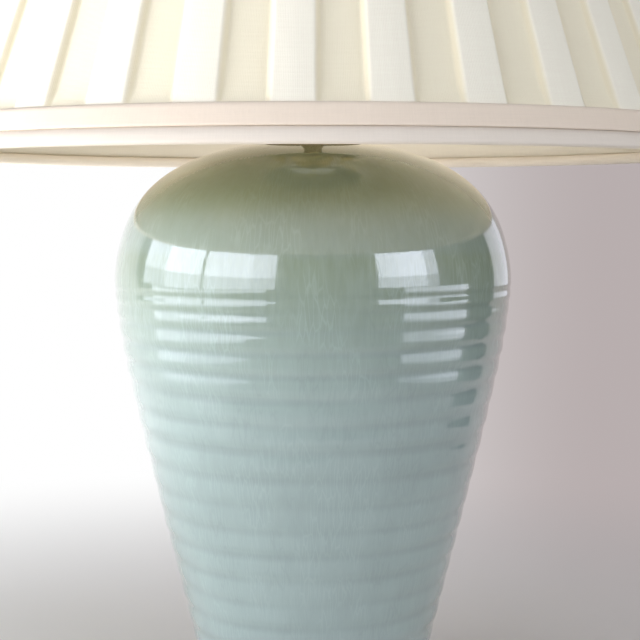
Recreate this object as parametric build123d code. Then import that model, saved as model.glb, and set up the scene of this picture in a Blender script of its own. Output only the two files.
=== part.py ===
"""Ginger jar table lamp with a box-pleated empire shade.

A hollow ribbed ceramic jar stands on a felt ring. A threaded rod runs up its axis and
clamps the vase cap, check ring, neck and harp saddle to it. The rod carries the socket
with its turn switch and bulb. A harp bow, held in the saddle by two sliding sleeves,
carries a swivelling stud, and the shade's spider is held on that stud by a finial.

Millimetres, +Z up. The origin is the centre of the resting face, and -Y is the front.
"""

import os
from math import cos, hypot, pi, sin, sqrt

from build123d import *

os.makedirs("parts", exist_ok=True)

# ---------------------------------------------------------------- driving dimensions
# Fits
running_gap = 0.08          # radial, a shaft that turns in its hole
slip_gap = 0.2              # radial, a piece slipped over another
seat_gap = 0.05             # between stacked faces
weld_gap = 0.1              # between wires that are welded together

# Jar
felt_thickness = 2.0
foot_ring_width = 10.2      # standing ring of the foot
foot_recess = 16.0          # foot face to the underside of the floor
floor_thickness = 8.0
jar_radius = 113.0          # at the belly
belly_height = 243.0        # foot face to the widest level
shoulder_rise = 80.0        # belly to crown
shoulder_power = 2.42       # exponent of the shoulder's superellipse
taper_ratio = 0.25          # radius lost per unit of drop, far below the belly
taper_bend_radius = 34.0    # how softly the belly turns into the taper
jar_wall = 6.0
mouth_radius = 20.0
rib_start = 2.0             # top of the first throwing rib below the belly
rib_pitch = 13.6
rib_unevenness = 0.12       # share of the pitch by which the hand-thrown ribs differ
rib_height = 0.6            # crest and groove from the mean outline

# Cord inlet at the back of the foot
inlet_height = 8.5          # centre above the foot face
inlet_bore_radius = 3.2
grommet_wall = 1.3
grommet_flange_radius = 6.0
grommet_flange_thickness = 1.5

# Threaded rod and its fastenings under the floor
rod_radius = 4.8
rod_bore_radius = 3.2
rod_tail = 2.0              # rod below the bottom nut
floor_hole_radius = 6.5
bottom_washer_radius = 18.0
bottom_washer_thickness = 2.0
lock_washer_radius = 8.0
lock_washer_thickness = 1.5
nut_flats = 14.0            # across the flats
nut_thickness = 4.0

# Fittings between the jar and the socket
cap_radius = 28.0
cap_height = 9.0
cap_wall = 1.0
check_ring_radius = 8.5
check_ring_height = 4.0
neck_height = 34.0
neck_end_radius = 8.0
neck_waist_radius = 6.0
neck_bead_height = 4.0      # straight band at each end of the neck
saddle_thickness = 1.2
saddle_width = 12.0
saddle_overhang = 6.0       # strip beyond the harp's leg
tongue_height = 13.0
tongue_width = 5.0
saddle_nut_thickness = 3.0

# Socket
socket_cap_radius = 18.0
socket_cap_height = 15.0
socket_cap_wall = 0.8
socket_cap_flare = 7.5      # height over which the cup widens from its hub
socket_hub_height = 5.0
socket_shell_wall = 0.7
socket_shell_height = 46.0
socket_shell_overlap = 6.0  # shell inside the cap
liner_wall = 0.6
interior_height = 18.0
interior_foot = 5.0         # interior above the cap's hub
screw_shell_wall = 0.5
screw_shell_height = 22.0
contact_radius = 4.5
contact_thickness = 1.0
contact_clearance = 0.8     # contact to the screw shell's floor
terminal_flat = 12.0        # terminal flats from the axis
terminal_head_radius = 2.6
terminal_head_thickness = 1.6
terminal_flat_width = 7.8
terminal_flat_height = 9.0
terminal_shank_radius = 1.5
terminal_shank_length = 5.0

# Turn switch
switch_stem_radius = 2.0
switch_stem_seat = 7.0      # stem inside the interior
switch_reach = 9.0          # shell to the knob
knob_radius = 5.0
knob_length = 11.0
knob_flutes = 12
knob_flute_radius = 0.8
knob_skirt = 2.2            # plain band at the knob's inner end
knob_cap = 2.75             # plastic beyond the stem's end

# Bulb, medium screw base
bulb_base_radius = 13.0
bulb_base_height = 20.0
bulb_base_wall = 0.4
bulb_tip_height = 3.5
bulb_tip_radius = 8.0
bulb_radius = 30.0
bulb_length = 110.0         # tip to crown
bulb_wall = 0.8
bulb_neck_depth = 10.0      # glass neck inside the base
bulb_neck_flare = 10.5      # base to the start of the globe's swell
filament_height = 52.0      # above the bulb's tip
filament_half_span = 9.0

# Harp
harp_leg_spacing = 55.0     # between the legs' axes at the saddle
harp_width = 104.0          # between the bow's axes
harp_height = 201.0         # saddle to the axis of the bow's crown
harp_wire_radius = 1.9
harp_knee_room = 10.0       # straight wire above a raised sleeve
harp_flare_height = 42.0
harp_flare_radius = 30.0
harp_crown_radius = 40.0
harp_eye_radius = 6.0
harp_eye_height = 5.0
sleeve_wall = 1.0
sleeve_height = 16.0
sleeve_travel = 12.0

# Swivel stud, spider and finial
pivot_radius = 2.5
pivot_head_radius = 4.5
pivot_head_thickness = 1.5
shade_rest_radius = 10.0
shade_rest_thickness = 1.5
stud_radius = 3.15
stud_height = 12.0          # above the spider's washer
spider_washer_radius = 13.0
spider_washer_thickness = 1.6
spider_arm_radius = 2.0
spider_arms_count = 3
spider_drop = 16.9          # top ring's axis above the washer's middle
spider_bend = 28.0          # bend of each arm inboard of the ring
insert_wall = 1.4
finial_foot_radius = 8.0
finial_foot_height = 3.0
finial_waist_radius = 6.2
finial_ball_radius = 9.0
finial_height = 38.0

# Shade
shade_bottom_radius = 228.5
shade_top_radius = 114.0
shade_height = 283.5
binding_thickness = 1.2
binding_height = 8.0        # outside the rim
binding_turn_in = 6.0       # inside the rim
band_height = 9.7
band_thickness = 1.0
layer_gap = 0.3
pleat_count = 32
pleat_depth = 3.4           # at the lower rim
pleat_front_share = 0.40    # of one pleat's period
pleat_fold_share = 0.12
cloth_thickness = 0.8
ring_wire_radius = 1.6
strut_wire_radius = 1.2
strut_count = 6

# ---------------------------------------------------------------- places worked out
LOW = (Align.CENTER, Align.CENTER, Align.MIN)

foot_z = felt_thickness
floor_z = foot_z + foot_recess
inner_floor_z = floor_z + floor_thickness
belly_z = foot_z + belly_height


def shoulder_z(radius, reach=jar_radius, rise=shoulder_rise):
    """Height of the shoulder's superellipse above z = 0 at a radius."""
    return belly_z + rise * (1 - (radius / reach) ** shoulder_power) ** (1 / shoulder_power)


def mean_radius(z):
    """Radius of the jar without its ribs: shoulder above the belly, taper below it."""
    if z > belly_z:
        rise = min((z - belly_z) / shoulder_rise, 1)
        return jar_radius * (1 - rise**shoulder_power) ** (1 / shoulder_power)
    drop = belly_z - z
    return jar_radius - taper_ratio * (hypot(drop, taper_bend_radius) - taper_bend_radius)


foot_inner_radius = mean_radius(foot_z) - foot_ring_width
cap_seat_z = shoulder_z(cap_radius - cap_wall)
cap_top_z = cap_seat_z + seat_gap + cap_height
check_ring_z = cap_top_z + seat_gap
neck_z = check_ring_z + check_ring_height + seat_gap
saddle_z = neck_z + neck_height + seat_gap
saddle_top_z = saddle_z + saddle_thickness
saddle_nut_z = saddle_top_z + seat_gap
socket_cap_z = saddle_nut_z + saddle_nut_thickness + seat_gap
socket_rim_z = socket_cap_z + socket_cap_height

bottom_washer_z = floor_z - seat_gap - bottom_washer_thickness
lock_washer_z = bottom_washer_z - seat_gap - lock_washer_thickness
bottom_nut_z = lock_washer_z - seat_gap - nut_thickness
rod_bottom_z = bottom_nut_z - rod_tail
rod_top_z = socket_cap_z + socket_hub_height
stack_hole = rod_radius + slip_gap

shell_radius = socket_cap_radius - socket_cap_wall - slip_gap
shell_z = socket_rim_z - socket_shell_overlap
liner_radius = shell_radius - socket_shell_wall - slip_gap
interior_radius = liner_radius - liner_wall - slip_gap
interior_z = rod_top_z + interior_foot
interior_top_z = interior_z + interior_height
screw_shell_inner = bulb_base_radius + slip_gap
screw_shell_radius = screw_shell_inner + screw_shell_wall
screw_shell_z = interior_top_z + seat_gap
bulb_tip_z = screw_shell_z + contact_thickness + seat_gap
bulb_base_z = bulb_tip_z + bulb_tip_height + seat_gap
bulb_top_z = bulb_tip_z + bulb_length
switch_z = interior_z + interior_height / 2

harp_leg_x = harp_leg_spacing / 2
harp_leg_height = sleeve_height + sleeve_travel + harp_knee_room
harp_foot_z = saddle_top_z + seat_gap
harp_crown_z = saddle_top_z + harp_height
eye_top_z = harp_crown_z + harp_eye_height / 2
sleeve_inner = hypot(harp_wire_radius + weld_gap + saddle_thickness, tongue_width / 2) + slip_gap
sleeve_radius = sleeve_inner + sleeve_wall

shade_rest_z = eye_top_z + running_gap
spider_z = shade_rest_z + shade_rest_thickness + seat_gap
spider_middle_z = spider_z + spider_washer_thickness / 2
finial_z = spider_z + spider_washer_thickness + seat_gap
stud_top_z = finial_z + stud_height
insert_top_z = stud_top_z + seat_gap + insert_wall

cover_front = binding_thickness + layer_gap
cover_inner = cover_front + pleat_depth + cloth_thickness
wire_offset = cover_inner + layer_gap + ring_wire_radius
lining_outer = wire_offset + ring_wire_radius + layer_gap
lining_inner = lining_outer + cloth_thickness
rim_width = lining_inner + layer_gap + binding_thickness
cloth_edge = binding_thickness + layer_gap
ring_edge = cloth_edge + ring_wire_radius
top_ring_z = spider_middle_z + spider_drop
shade_top_z = top_ring_z + ring_edge
shade_bottom_z = shade_top_z - shade_height
shade_lean = (shade_bottom_radius - shade_top_radius) / shade_height
bottom_ring_z = shade_bottom_z + ring_edge


# ---------------------------------------------------------------- helpers
def tube(outer, inner, z, height):
    """Upright ring or tube standing on z."""
    return Pos(0, 0, z) * (Cylinder(outer, height, align=LOW) - Cylinder(inner, height, align=LOW))


def lathe(points):
    """Solid of revolution of a closed outline of (radius, z) corners."""
    outline = Polyline(*[(r, 0, z) for r, z in points], close=True)
    return revolve(make_face(outline), Axis.Z)


def lathe_edges(*edges):
    """Solid of revolution of a closed outline made of edges in the XZ plane."""
    return revolve(make_face(Curve() + list(edges)), Axis.Z)


def line(*points):
    return Polyline(*[(r, 0, z) for r, z in points])


def curve(points, **ends):
    return Spline(*[(r, 0, z) for r, z in points], **ends)


def hexagon_nut(z, thickness):
    """Hexagonal nut on the rod."""
    blank = extrude(RegularPolygon(nut_flats / sqrt(3), 6), thickness)
    return Pos(0, 0, z) * (blank - Cylinder(rod_radius + weld_gap, thickness, align=LOW))


def wire(path, start_direction, radius):
    """Round wire along a path that starts in the given direction."""
    section = Plane(origin=path @ 0, z_dir=start_direction) * Circle(radius)
    return sweep(section, path)


def shade_radius(z):
    """Outermost radius of the shade's trim at a height."""
    return shade_bottom_radius - shade_lean * (z - shade_bottom_z)


def shade_layer(outer, inner, z_low, z_high):
    """Conical layer of the shade between two horizontal offsets from the trim's face."""
    return lathe([
        (shade_radius(z_low) - outer, z_low),
        (shade_radius(z_low) - inner, z_low),
        (shade_radius(z_high) - inner, z_high),
        (shade_radius(z_high) - outer, z_high),
    ])


# ---------------------------------------------------------------- jar and foot
def rib_edges():
    """Arcs of the throwing ribs, crest and groove in turn, from the belly to the foot."""
    edges = []
    top = belly_z - rib_start
    side = 1
    while top > foot_z + rib_pitch:
        low = top - rib_pitch / 2 * (1 + rib_unevenness * sin(0.9 * len(edges)))
        middle = (top + low) / 2
        edges.append(ThreePointArc(
            (mean_radius(top), 0, top),
            (mean_radius(middle) + side * rib_height, 0, middle),
            (mean_radius(low), 0, low),
        ))
        top = low
        side = -side
    return edges


def shoulder_points(reach, rise):
    """Points of a superellipse shoulder, from the belly to the mouth."""
    points = []
    steps = 8
    for step in range(steps):
        turn = pi / 2 * step / steps
        level = belly_z + rise * sin(turn) ** (2 / shoulder_power)
        points.append((reach * cos(turn) ** (2 / shoulder_power), level))
    points.append((mouth_radius, shoulder_z(mouth_radius, reach, rise)))
    return points


def make_jar():
    """Hollow jar, with a mouth under the cap, a floor, and a recess inside the foot."""
    ribs = rib_edges()
    foot = (mean_radius(foot_z), foot_z)
    last = ribs[-1] @ 1
    shoulder = [(mean_radius(belly_z - rib_start), belly_z - rib_start)]
    shoulder += shoulder_points(jar_radius, shoulder_rise)

    levels = 4
    inside = []
    for level in range(levels):
        z = inner_floor_z + (belly_z - inner_floor_z) * level / levels
        inside.append((mean_radius(z) - jar_wall, z))
    inside += shoulder_points(jar_radius - jar_wall, shoulder_rise - jar_wall)

    body = lathe_edges(
        Line((foot[0], 0, foot_z), last), *ribs, curve(shoulder),
        line(shoulder[-1], inside[-1]), curve(inside),
        line(inside[0], (floor_hole_radius, inner_floor_z), (floor_hole_radius, floor_z),
             (foot_inner_radius, floor_z), (foot_inner_radius, foot_z), foot),
    )
    hole, seat = inlet_cuts()
    return body - hole - seat


inlet_z = foot_z + inlet_height
grommet_radius = inlet_bore_radius + grommet_wall
inlet_low_radius = mean_radius(inlet_z - grommet_flange_radius) - rib_height
inlet_seat_y = sqrt(inlet_low_radius**2 - grommet_flange_radius**2)
grommet_outer_y = inlet_seat_y + seat_gap + grommet_flange_thickness
grommet_inner_y = foot_inner_radius - slip_gap


def along_y(radius, y_near, y_far, z):
    """Cylinder along Y between two distances behind the axis."""
    return Pos(0, y_near, z) * Rot(-90, 0, 0) * Cylinder(radius, y_far - y_near, align=LOW)


def inlet_cuts():
    """Hole through the back of the foot, and the flat seat for the grommet's flange."""
    hole = along_y(grommet_radius + slip_gap, foot_inner_radius - jar_wall, jar_radius, inlet_z)
    seat = along_y(grommet_flange_radius + slip_gap, inlet_seat_y, jar_radius, inlet_z)
    return hole, seat


def make_grommet():
    body = along_y(grommet_radius, grommet_inner_y, grommet_outer_y, inlet_z)
    flange = along_y(grommet_flange_radius, inlet_seat_y + seat_gap, grommet_outer_y, inlet_z)
    bore = along_y(inlet_bore_radius, grommet_inner_y - seat_gap, grommet_outer_y + seat_gap, inlet_z)
    return body + flange - bore


def make_felt():
    return tube(mean_radius(foot_z), foot_inner_radius, 0, felt_thickness)


# ---------------------------------------------------------------- rod and its stack
def make_rod():
    return tube(rod_radius, rod_bore_radius, rod_bottom_z, rod_top_z - rod_bottom_z)


def make_vase_cap():
    """Spun cap: a rim standing on the shoulder, a quarter-round side and a flat top."""
    side = cap_height - cap_wall
    rim_z = cap_seat_z + seat_gap

    def profile(radius, top, level):
        return [
            (radius, level), (radius, level + 0.25 * side), (radius - 0.12 * side, level + 0.5 * side),
            (radius - 0.5 * side, top - 0.3 * side), (radius - 1.6 * side, top),
        ]

    outer = profile(cap_radius, cap_top_z, rim_z)
    inner = profile(cap_radius - cap_wall, cap_top_z - cap_wall, rim_z)
    return lathe_edges(
        curve(outer), line(outer[-1], (stack_hole, cap_top_z), (stack_hole, cap_top_z - cap_wall), inner[-1]),
        curve(inner[::-1]), line(inner[0], outer[0]),
    )


def make_neck():
    """Turned neck with a waist."""
    top = neck_z + neck_height
    waist = curve([
        (neck_end_radius, neck_z + neck_bead_height), (neck_waist_radius, neck_z + neck_height / 2),
        (neck_end_radius, top - neck_bead_height),
    ])
    return lathe_edges(
        line((stack_hole, neck_z), (neck_end_radius, neck_z), (neck_end_radius, neck_z + neck_bead_height)),
        waist,
        line((neck_end_radius, top - neck_bead_height), (neck_end_radius, top), (stack_hole, top),
             (stack_hole, neck_z)),
    )


def make_saddle():
    """Flat strip under the socket, with a tongue bent up beside each leg of the harp."""
    length = harp_leg_spacing + 2 * saddle_overhang
    saddle = Pos(0, 0, saddle_z) * Box(length, saddle_width, saddle_thickness, align=LOW)
    saddle -= Pos(0, 0, saddle_z) * Cylinder(rod_radius + weld_gap, saddle_thickness, align=LOW)
    tongue_x = harp_leg_x - harp_wire_radius - weld_gap - saddle_thickness / 2
    for side in (-1, 1):
        saddle += Pos(side * tongue_x, 0, saddle_z) * Box(
            saddle_thickness, tongue_width, saddle_thickness + tongue_height, align=LOW)
    return saddle


# ---------------------------------------------------------------- socket and switch
def make_socket_cap():
    """Brass cup screwed on the rod, open at the top."""
    hub = rod_radius + weld_gap
    hub_outer = hub + 2 * socket_cap_wall
    shoulder = socket_cap_z + socket_cap_flare
    inner = socket_cap_radius - socket_cap_wall
    return lathe([
        (hub, socket_cap_z), (hub_outer, socket_cap_z), (socket_cap_radius, shoulder),
        (socket_cap_radius, socket_rim_z), (inner, socket_rim_z), (inner, shoulder + socket_cap_wall / 2),
        (hub_outer, socket_cap_z + 2 * socket_cap_wall), (hub_outer, rod_top_z), (hub, rod_top_z),
    ])


def switch_hole(clearance):
    """Cylinder that clears the switch stem, from inside the interior to the front."""
    return along_y(switch_stem_radius + clearance, knob_outer_y, stem_inner_y, switch_z)


stem_inner_y = switch_stem_seat - interior_radius
knob_outer_y = -(shell_radius + switch_reach + knob_length)
knob_inner_y = -(shell_radius + switch_reach)


def make_socket_shell():
    shell = tube(shell_radius, shell_radius - socket_shell_wall, shell_z, socket_shell_height)
    return shell - switch_hole(slip_gap)


def make_socket_liner():
    height = socket_shell_height - 2 * socket_shell_wall
    liner = tube(liner_radius, liner_radius - liner_wall, shell_z + socket_shell_wall, height)
    return liner - switch_hole(slip_gap)


def make_interior():
    """Moulded insulating block with two terminal flats and the bearing of the switch."""
    block = Pos(0, 0, interior_z) * Cylinder(interior_radius, interior_height, align=LOW)
    for side in (-1, 1):
        flat = Box(interior_radius, terminal_flat_width, terminal_flat_height,
                   align=(Align.MIN, Align.CENTER, Align.MIN))
        block -= Rot(0, 0, 90 - 90 * side) * Pos(terminal_flat, 0, interior_z) * flat
        block -= terminal_shank(side, running_gap)
    return block - switch_hole(running_gap)


terminal_z = interior_z + terminal_flat_height / 2


def terminal_shank(side, clearance):
    shank = Rot(0, 90, 0) * Cylinder(
        terminal_shank_radius + clearance, terminal_shank_length + clearance,
        align=(Align.CENTER, Align.CENTER, Align.MAX))
    return Rot(0, 0, 90 - 90 * side) * Pos(terminal_flat, 0, terminal_z) * shank


def make_terminals():
    """Two terminal screws, one on each flat of the interior."""
    screws = []
    for side in (-1, 1):
        head = Rot(0, 90, 0) * Cylinder(terminal_head_radius, terminal_head_thickness, align=LOW)
        head = Rot(0, 0, 90 - 90 * side) * Pos(terminal_flat + seat_gap, 0, terminal_z) * head
        shank = Pos(side * seat_gap, 0, 0) * terminal_shank(side, 0)
        screws.append(head + shank)
    return Compound(children=screws)


def make_screw_shell():
    """Thin cup that takes the bulb's screw base, open at the bottom round the contact."""
    floor_hole = contact_radius + contact_clearance
    shell = tube(screw_shell_radius, screw_shell_inner, screw_shell_z, screw_shell_height)
    return shell + tube(screw_shell_radius, floor_hole, screw_shell_z, screw_shell_wall)


def make_contact():
    return Pos(0, 0, screw_shell_z) * Cylinder(contact_radius, contact_thickness, align=LOW)


def make_switch_stem():
    return along_y(switch_stem_radius, knob_outer_y + knob_cap, stem_inner_y - seat_gap, switch_z)


def make_switch_knob():
    """Fluted knob on the outer end of the stem."""
    knob = along_y(knob_radius, knob_outer_y, knob_inner_y, switch_z)
    for flute in range(knob_flutes):
        turn = 2 * pi * flute / knob_flutes
        cut = along_y(knob_flute_radius, knob_outer_y, knob_inner_y - knob_skirt, 0)
        knob -= Pos(knob_radius * cos(turn), 0, switch_z + knob_radius * sin(turn)) * cut
    bore_end = knob_outer_y + knob_cap - seat_gap
    return knob - along_y(switch_stem_radius + seat_gap, bore_end, knob_inner_y, switch_z)


# ---------------------------------------------------------------- bulb
bulb_base_top_z = bulb_base_z + bulb_base_height
bulb_neck_radius = bulb_base_radius - bulb_base_wall - slip_gap


def make_bulb_contact():
    """Tip contact and the insulating cone that it sits in."""
    return lathe([
        (0, bulb_tip_z), (contact_radius / 2, bulb_tip_z),
        (bulb_tip_radius, bulb_tip_z + bulb_tip_height), (0, bulb_tip_z + bulb_tip_height),
    ])


def make_bulb_base():
    """Screw base: a thin cup, open at the top."""
    cup = Pos(0, 0, bulb_base_z) * Cylinder(bulb_base_radius, bulb_base_height, align=LOW)
    hollow = Cylinder(bulb_base_radius - bulb_base_wall, bulb_base_height, align=LOW)
    return cup - Pos(0, 0, bulb_base_z + bulb_base_wall) * hollow


def make_bulb_glass():
    """Glass envelope: a neck cemented in the base, widening into the globe."""
    globe_z = bulb_top_z - bulb_radius
    swell = 1.15                # share by which the neck has widened at the flare
    cheek = pi / 5              # angle below the globe's middle where the neck meets it

    def profile(inset):
        neck = bulb_neck_radius - inset
        side = [
            (neck, bulb_base_top_z + seat_gap), (neck * swell, bulb_base_top_z + bulb_neck_flare),
            (bulb_radius * cos(cheek), globe_z - bulb_radius * sin(cheek)), (bulb_radius - inset, globe_z),
        ]
        return neck, side, bulb_radius - inset

    neck_low = bulb_base_top_z - bulb_neck_depth
    neck, side, reach = profile(0)
    inner_neck, inner_side, inner_reach = profile(bulb_wall)
    inner_side = [(r - (0 if place in (0, 3) else bulb_wall), z) for place, (r, z) in enumerate(inner_side)]

    def dome(radius, start, end):
        turn = radius * sin(pi / 4)
        return ThreePointArc(start, (turn, 0, globe_z + turn), end)

    outer_top = (0, 0, globe_z + reach)
    inner_top = (0, 0, globe_z + inner_reach)
    return lathe_edges(
        line((inner_neck, neck_low), (neck, neck_low), side[0]),
        curve(side, tangents=[(0, 0, 1), (0, 0, 1)]),
        dome(reach, (reach, 0, globe_z), outer_top), Line(outer_top, inner_top),
        dome(inner_reach, (inner_reach, 0, globe_z), inner_top),
        curve(inner_side, tangents=[(0, 0, 1), (0, 0, 1)]),
        line(inner_side[0], (inner_neck, neck_low)),
    )


def make_filament():
    """Flared glass stem seated in the neck, two lead wires and the filament across them."""
    stem_radius = filament_half_span / 3
    lead_radius = stem_radius / 6
    flare_radius = bulb_neck_radius - bulb_wall - seat_gap
    stem_z = bulb_base_top_z - bulb_neck_depth
    top = bulb_tip_z + filament_height
    stem = Pos(0, 0, stem_z) * Cylinder(stem_radius, (top - stem_z) * 0.6, align=LOW)
    stem += Pos(0, 0, stem_z) * Cone(flare_radius, stem_radius, (top - stem_z) * 0.3, align=LOW)
    press_top = stem_z + (top - stem_z) * 0.5
    for side in (-1, 1):
        path = Polyline((side * stem_radius / 2, 0, press_top), (side * filament_half_span, 0, top))
        stem += wire(path, path % 0, lead_radius)
    across = Polyline((-filament_half_span, 0, top), (filament_half_span, 0, top))
    return stem + wire(across, (1, 0, 0), 1.3 * lead_radius)


# ---------------------------------------------------------------- harp
def make_harp_bow():
    """Bow of round wire, with an eye at its crown for the swivel stud."""
    half = harp_width / 2
    knee_z = harp_foot_z + harp_leg_height
    flare_z = knee_z + harp_flare_height
    right = [(harp_leg_x, harp_foot_z), (harp_leg_x, knee_z), (half, flare_z), (half, harp_crown_z)]
    left = [(-x, z) for x, z in right[::-1]]
    corners = [(x, 0, z) for x, z in right + left]
    side_radii = [harp_flare_radius, harp_flare_radius, harp_crown_radius]
    path = FilletPolyline(*corners, radius=side_radii + side_radii[::-1])
    bow = wire(path, (0, 0, 1), harp_wire_radius)
    eye_z = harp_crown_z - harp_eye_height / 2
    bow += Pos(0, 0, eye_z) * Cylinder(harp_eye_radius, harp_eye_height, align=LOW)
    return bow - Pos(0, 0, eye_z) * Cylinder(pivot_radius + running_gap, harp_eye_height, align=LOW)


def make_sleeve(side):
    """Sleeve that locks one leg to its tongue; a collar at its top runs on the wire."""
    collar = 2 * sleeve_wall
    body = Cylinder(sleeve_radius, sleeve_height, align=LOW)
    body -= Cylinder(sleeve_inner, sleeve_height - collar, align=LOW)
    body -= Cylinder(harp_wire_radius + running_gap, sleeve_height, align=LOW)
    top = body.edges().filter_by(GeomType.CIRCLE).sort_by(Axis.Z)[-2:].sort_by(SortBy.RADIUS)[-1]
    body = fillet(top, sleeve_wall)
    return Pos(side * harp_leg_x, 0, harp_foot_z) * body


# ---------------------------------------------------------------- stud and finial
def make_swivel_stud():
    """Pivot riveted in the harp's eye, the rest for the shade and the threaded stud."""
    head_top = harp_crown_z - harp_eye_height / 2 - running_gap
    head = Pos(0, 0, head_top - pivot_head_thickness) * Cylinder(
        pivot_head_radius, pivot_head_thickness, align=LOW)
    pivot = Pos(0, 0, head_top) * Cylinder(pivot_radius, shade_rest_z - head_top, align=LOW)
    rest = Pos(0, 0, shade_rest_z) * Cylinder(shade_rest_radius, shade_rest_thickness, align=LOW)
    stud = Pos(0, 0, shade_rest_z) * Cylinder(stud_radius, stud_top_z - shade_rest_z, align=LOW)
    return head + pivot + rest + stud


def make_finial_insert():
    """Threaded insert, closed at its top."""
    insert = Pos(0, 0, finial_z) * Cylinder(
        stud_radius + running_gap + insert_wall, insert_top_z - finial_z, align=LOW)
    bore = Cylinder(stud_radius + running_gap, stud_top_z + seat_gap - finial_z, align=LOW)
    return insert - Pos(0, 0, finial_z) * bore


def make_finial_knob():
    """Turned knob: a foot, a waist, a ball and a small tip."""
    foot_top = finial_z + finial_foot_height
    ball_z = finial_z + finial_height - 1.55 * finial_ball_radius
    tip = finial_ball_radius / 4
    tip_z = finial_z + finial_height
    meet = sqrt(finial_ball_radius**2 - finial_waist_radius**2)
    lip = sqrt(finial_ball_radius**2 - tip**2)
    bore = stud_radius + 2 * running_gap + insert_wall
    bore_top = insert_top_z + seat_gap
    ball = ThreePointArc(
        (finial_waist_radius, 0, ball_z - meet), (finial_ball_radius, 0, ball_z), (tip, 0, ball_z + lip))
    return lathe_edges(
        line((bore, finial_z), (finial_foot_radius, finial_z), (finial_foot_radius, foot_top),
             (finial_waist_radius, foot_top + (finial_foot_radius - finial_waist_radius)),
             (finial_waist_radius, ball_z - meet)),
        ball,
        line((tip, ball_z + lip), (tip, tip_z), (0, tip_z), (0, bore_top), (bore, bore_top),
             (bore, finial_z)),
    )


# ---------------------------------------------------------------- shade frame
ring_top_major = shade_radius(top_ring_z) - wire_offset
ring_bottom_major = shade_radius(bottom_ring_z) - wire_offset


def make_ring(major, z):
    return Pos(0, 0, z) * Torus(major, ring_wire_radius)


def make_struts():
    """Straight wires from the bottom ring to the top ring."""
    run = hypot(ring_bottom_major - ring_top_major, top_ring_z - bottom_ring_z)
    inward = (ring_top_major - ring_bottom_major) / run
    upward = (top_ring_z - bottom_ring_z) / run
    inset = ring_wire_radius + weld_gap
    start = (ring_bottom_major + inward * inset, 0, bottom_ring_z + upward * inset)
    strut = Plane(origin=start, z_dir=(inward, 0, upward)) * Cylinder(
        strut_wire_radius, run - 2 * inset, align=LOW)
    turns = [360 / strut_count * (place + 0.5) for place in range(strut_count)]
    return Compound(children=[Rot(0, 0, turn) * strut for turn in turns])


def spider_arm(extra):
    """One arm along +X: level from the washer, then up to the top ring."""
    bend = (ring_top_major - spider_bend, 0, spider_middle_z)
    reach = hypot(spider_bend, spider_drop)
    stop = 1 - (ring_wire_radius + weld_gap) / reach
    end = (bend[0] + spider_bend * stop, 0, spider_middle_z + spider_drop * stop)
    start = (spider_washer_radius + weld_gap, 0, spider_middle_z)
    path = FilletPolyline(start, bend, end, radius=[4 * spider_arm_radius])
    return wire(path, (1, 0, 0), spider_arm_radius + extra)


def make_spider_arms(extra=0.0):
    """Arms of the spider; the first one points to the back."""
    arm = spider_arm(extra)
    turns = [90 + 360 / spider_arms_count * place for place in range(spider_arms_count)]
    return Compound(children=[Rot(0, 0, turn) * arm for turn in turns])


def make_spider_washer():
    return tube(spider_washer_radius, stud_radius + slip_gap, spider_z, spider_washer_thickness)


# ---------------------------------------------------------------- shade cloth
def make_cover():
    """Box-pleated cover: pleated outside, plain inside, narrowing towards the top."""
    low = shade_bottom_z + cloth_edge
    high = shade_top_z - cloth_edge
    front = shade_radius(low) - cover_front
    back = front - pleat_depth
    narrowing = (shade_radius(high) - cover_front) / front
    period = 2 * pi / pleat_count
    half_front = pleat_front_share / 2 * period
    half_fold = half_front + pleat_fold_share * period
    corners = []
    for pleat in range(pleat_count):
        middle = period * pleat
        folds = [(-half_fold, back), (-half_front, front), (half_front, front), (half_fold, back)]
        for turn, radius in folds:
            corners.append((radius * cos(middle + turn), radius * sin(middle + turn)))
    outline = make_face(Polyline(*corners, close=True))
    body = loft([Pos(0, 0, low) * outline, Pos(0, 0, high) * scale(outline, narrowing)], ruled=True)
    inside = lathe([
        (0, low), (shade_radius(low) - cover_inner, low),
        (shade_radius(high) - cover_inner, high), (0, high),
    ])
    return body - inside


def make_lining():
    """Smooth lining inside the frame, slit for the spider's arms."""
    lining = shade_layer(lining_outer, lining_inner, shade_bottom_z + cloth_edge, shade_top_z - cloth_edge)
    return lining - make_spider_arms(layer_gap)


def make_binding(edge_z, upward):
    """Bias binding rolled over one rim; upward is 1 at the lower rim and -1 at the upper."""
    inner_leg = rim_width - binding_thickness
    outline = [
        (0, 0), (0, binding_height), (binding_thickness, binding_height),
        (binding_thickness, binding_thickness), (inner_leg, binding_thickness),
        (inner_leg, binding_turn_in), (rim_width, binding_turn_in), (rim_width, 0),
    ]
    points = []
    for offset, rise in outline:
        z = edge_z + upward * rise
        points.append((shade_radius(z) - offset, z))
    return lathe(points)


def make_band(edge_z, upward):
    """Flat trim band over the pleats, next to the binding."""
    near = edge_z + upward * (binding_height + layer_gap)
    far = near + upward * band_height
    outer = binding_thickness - band_thickness
    return shade_layer(outer, binding_thickness, min(near, far), max(near, far))


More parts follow.
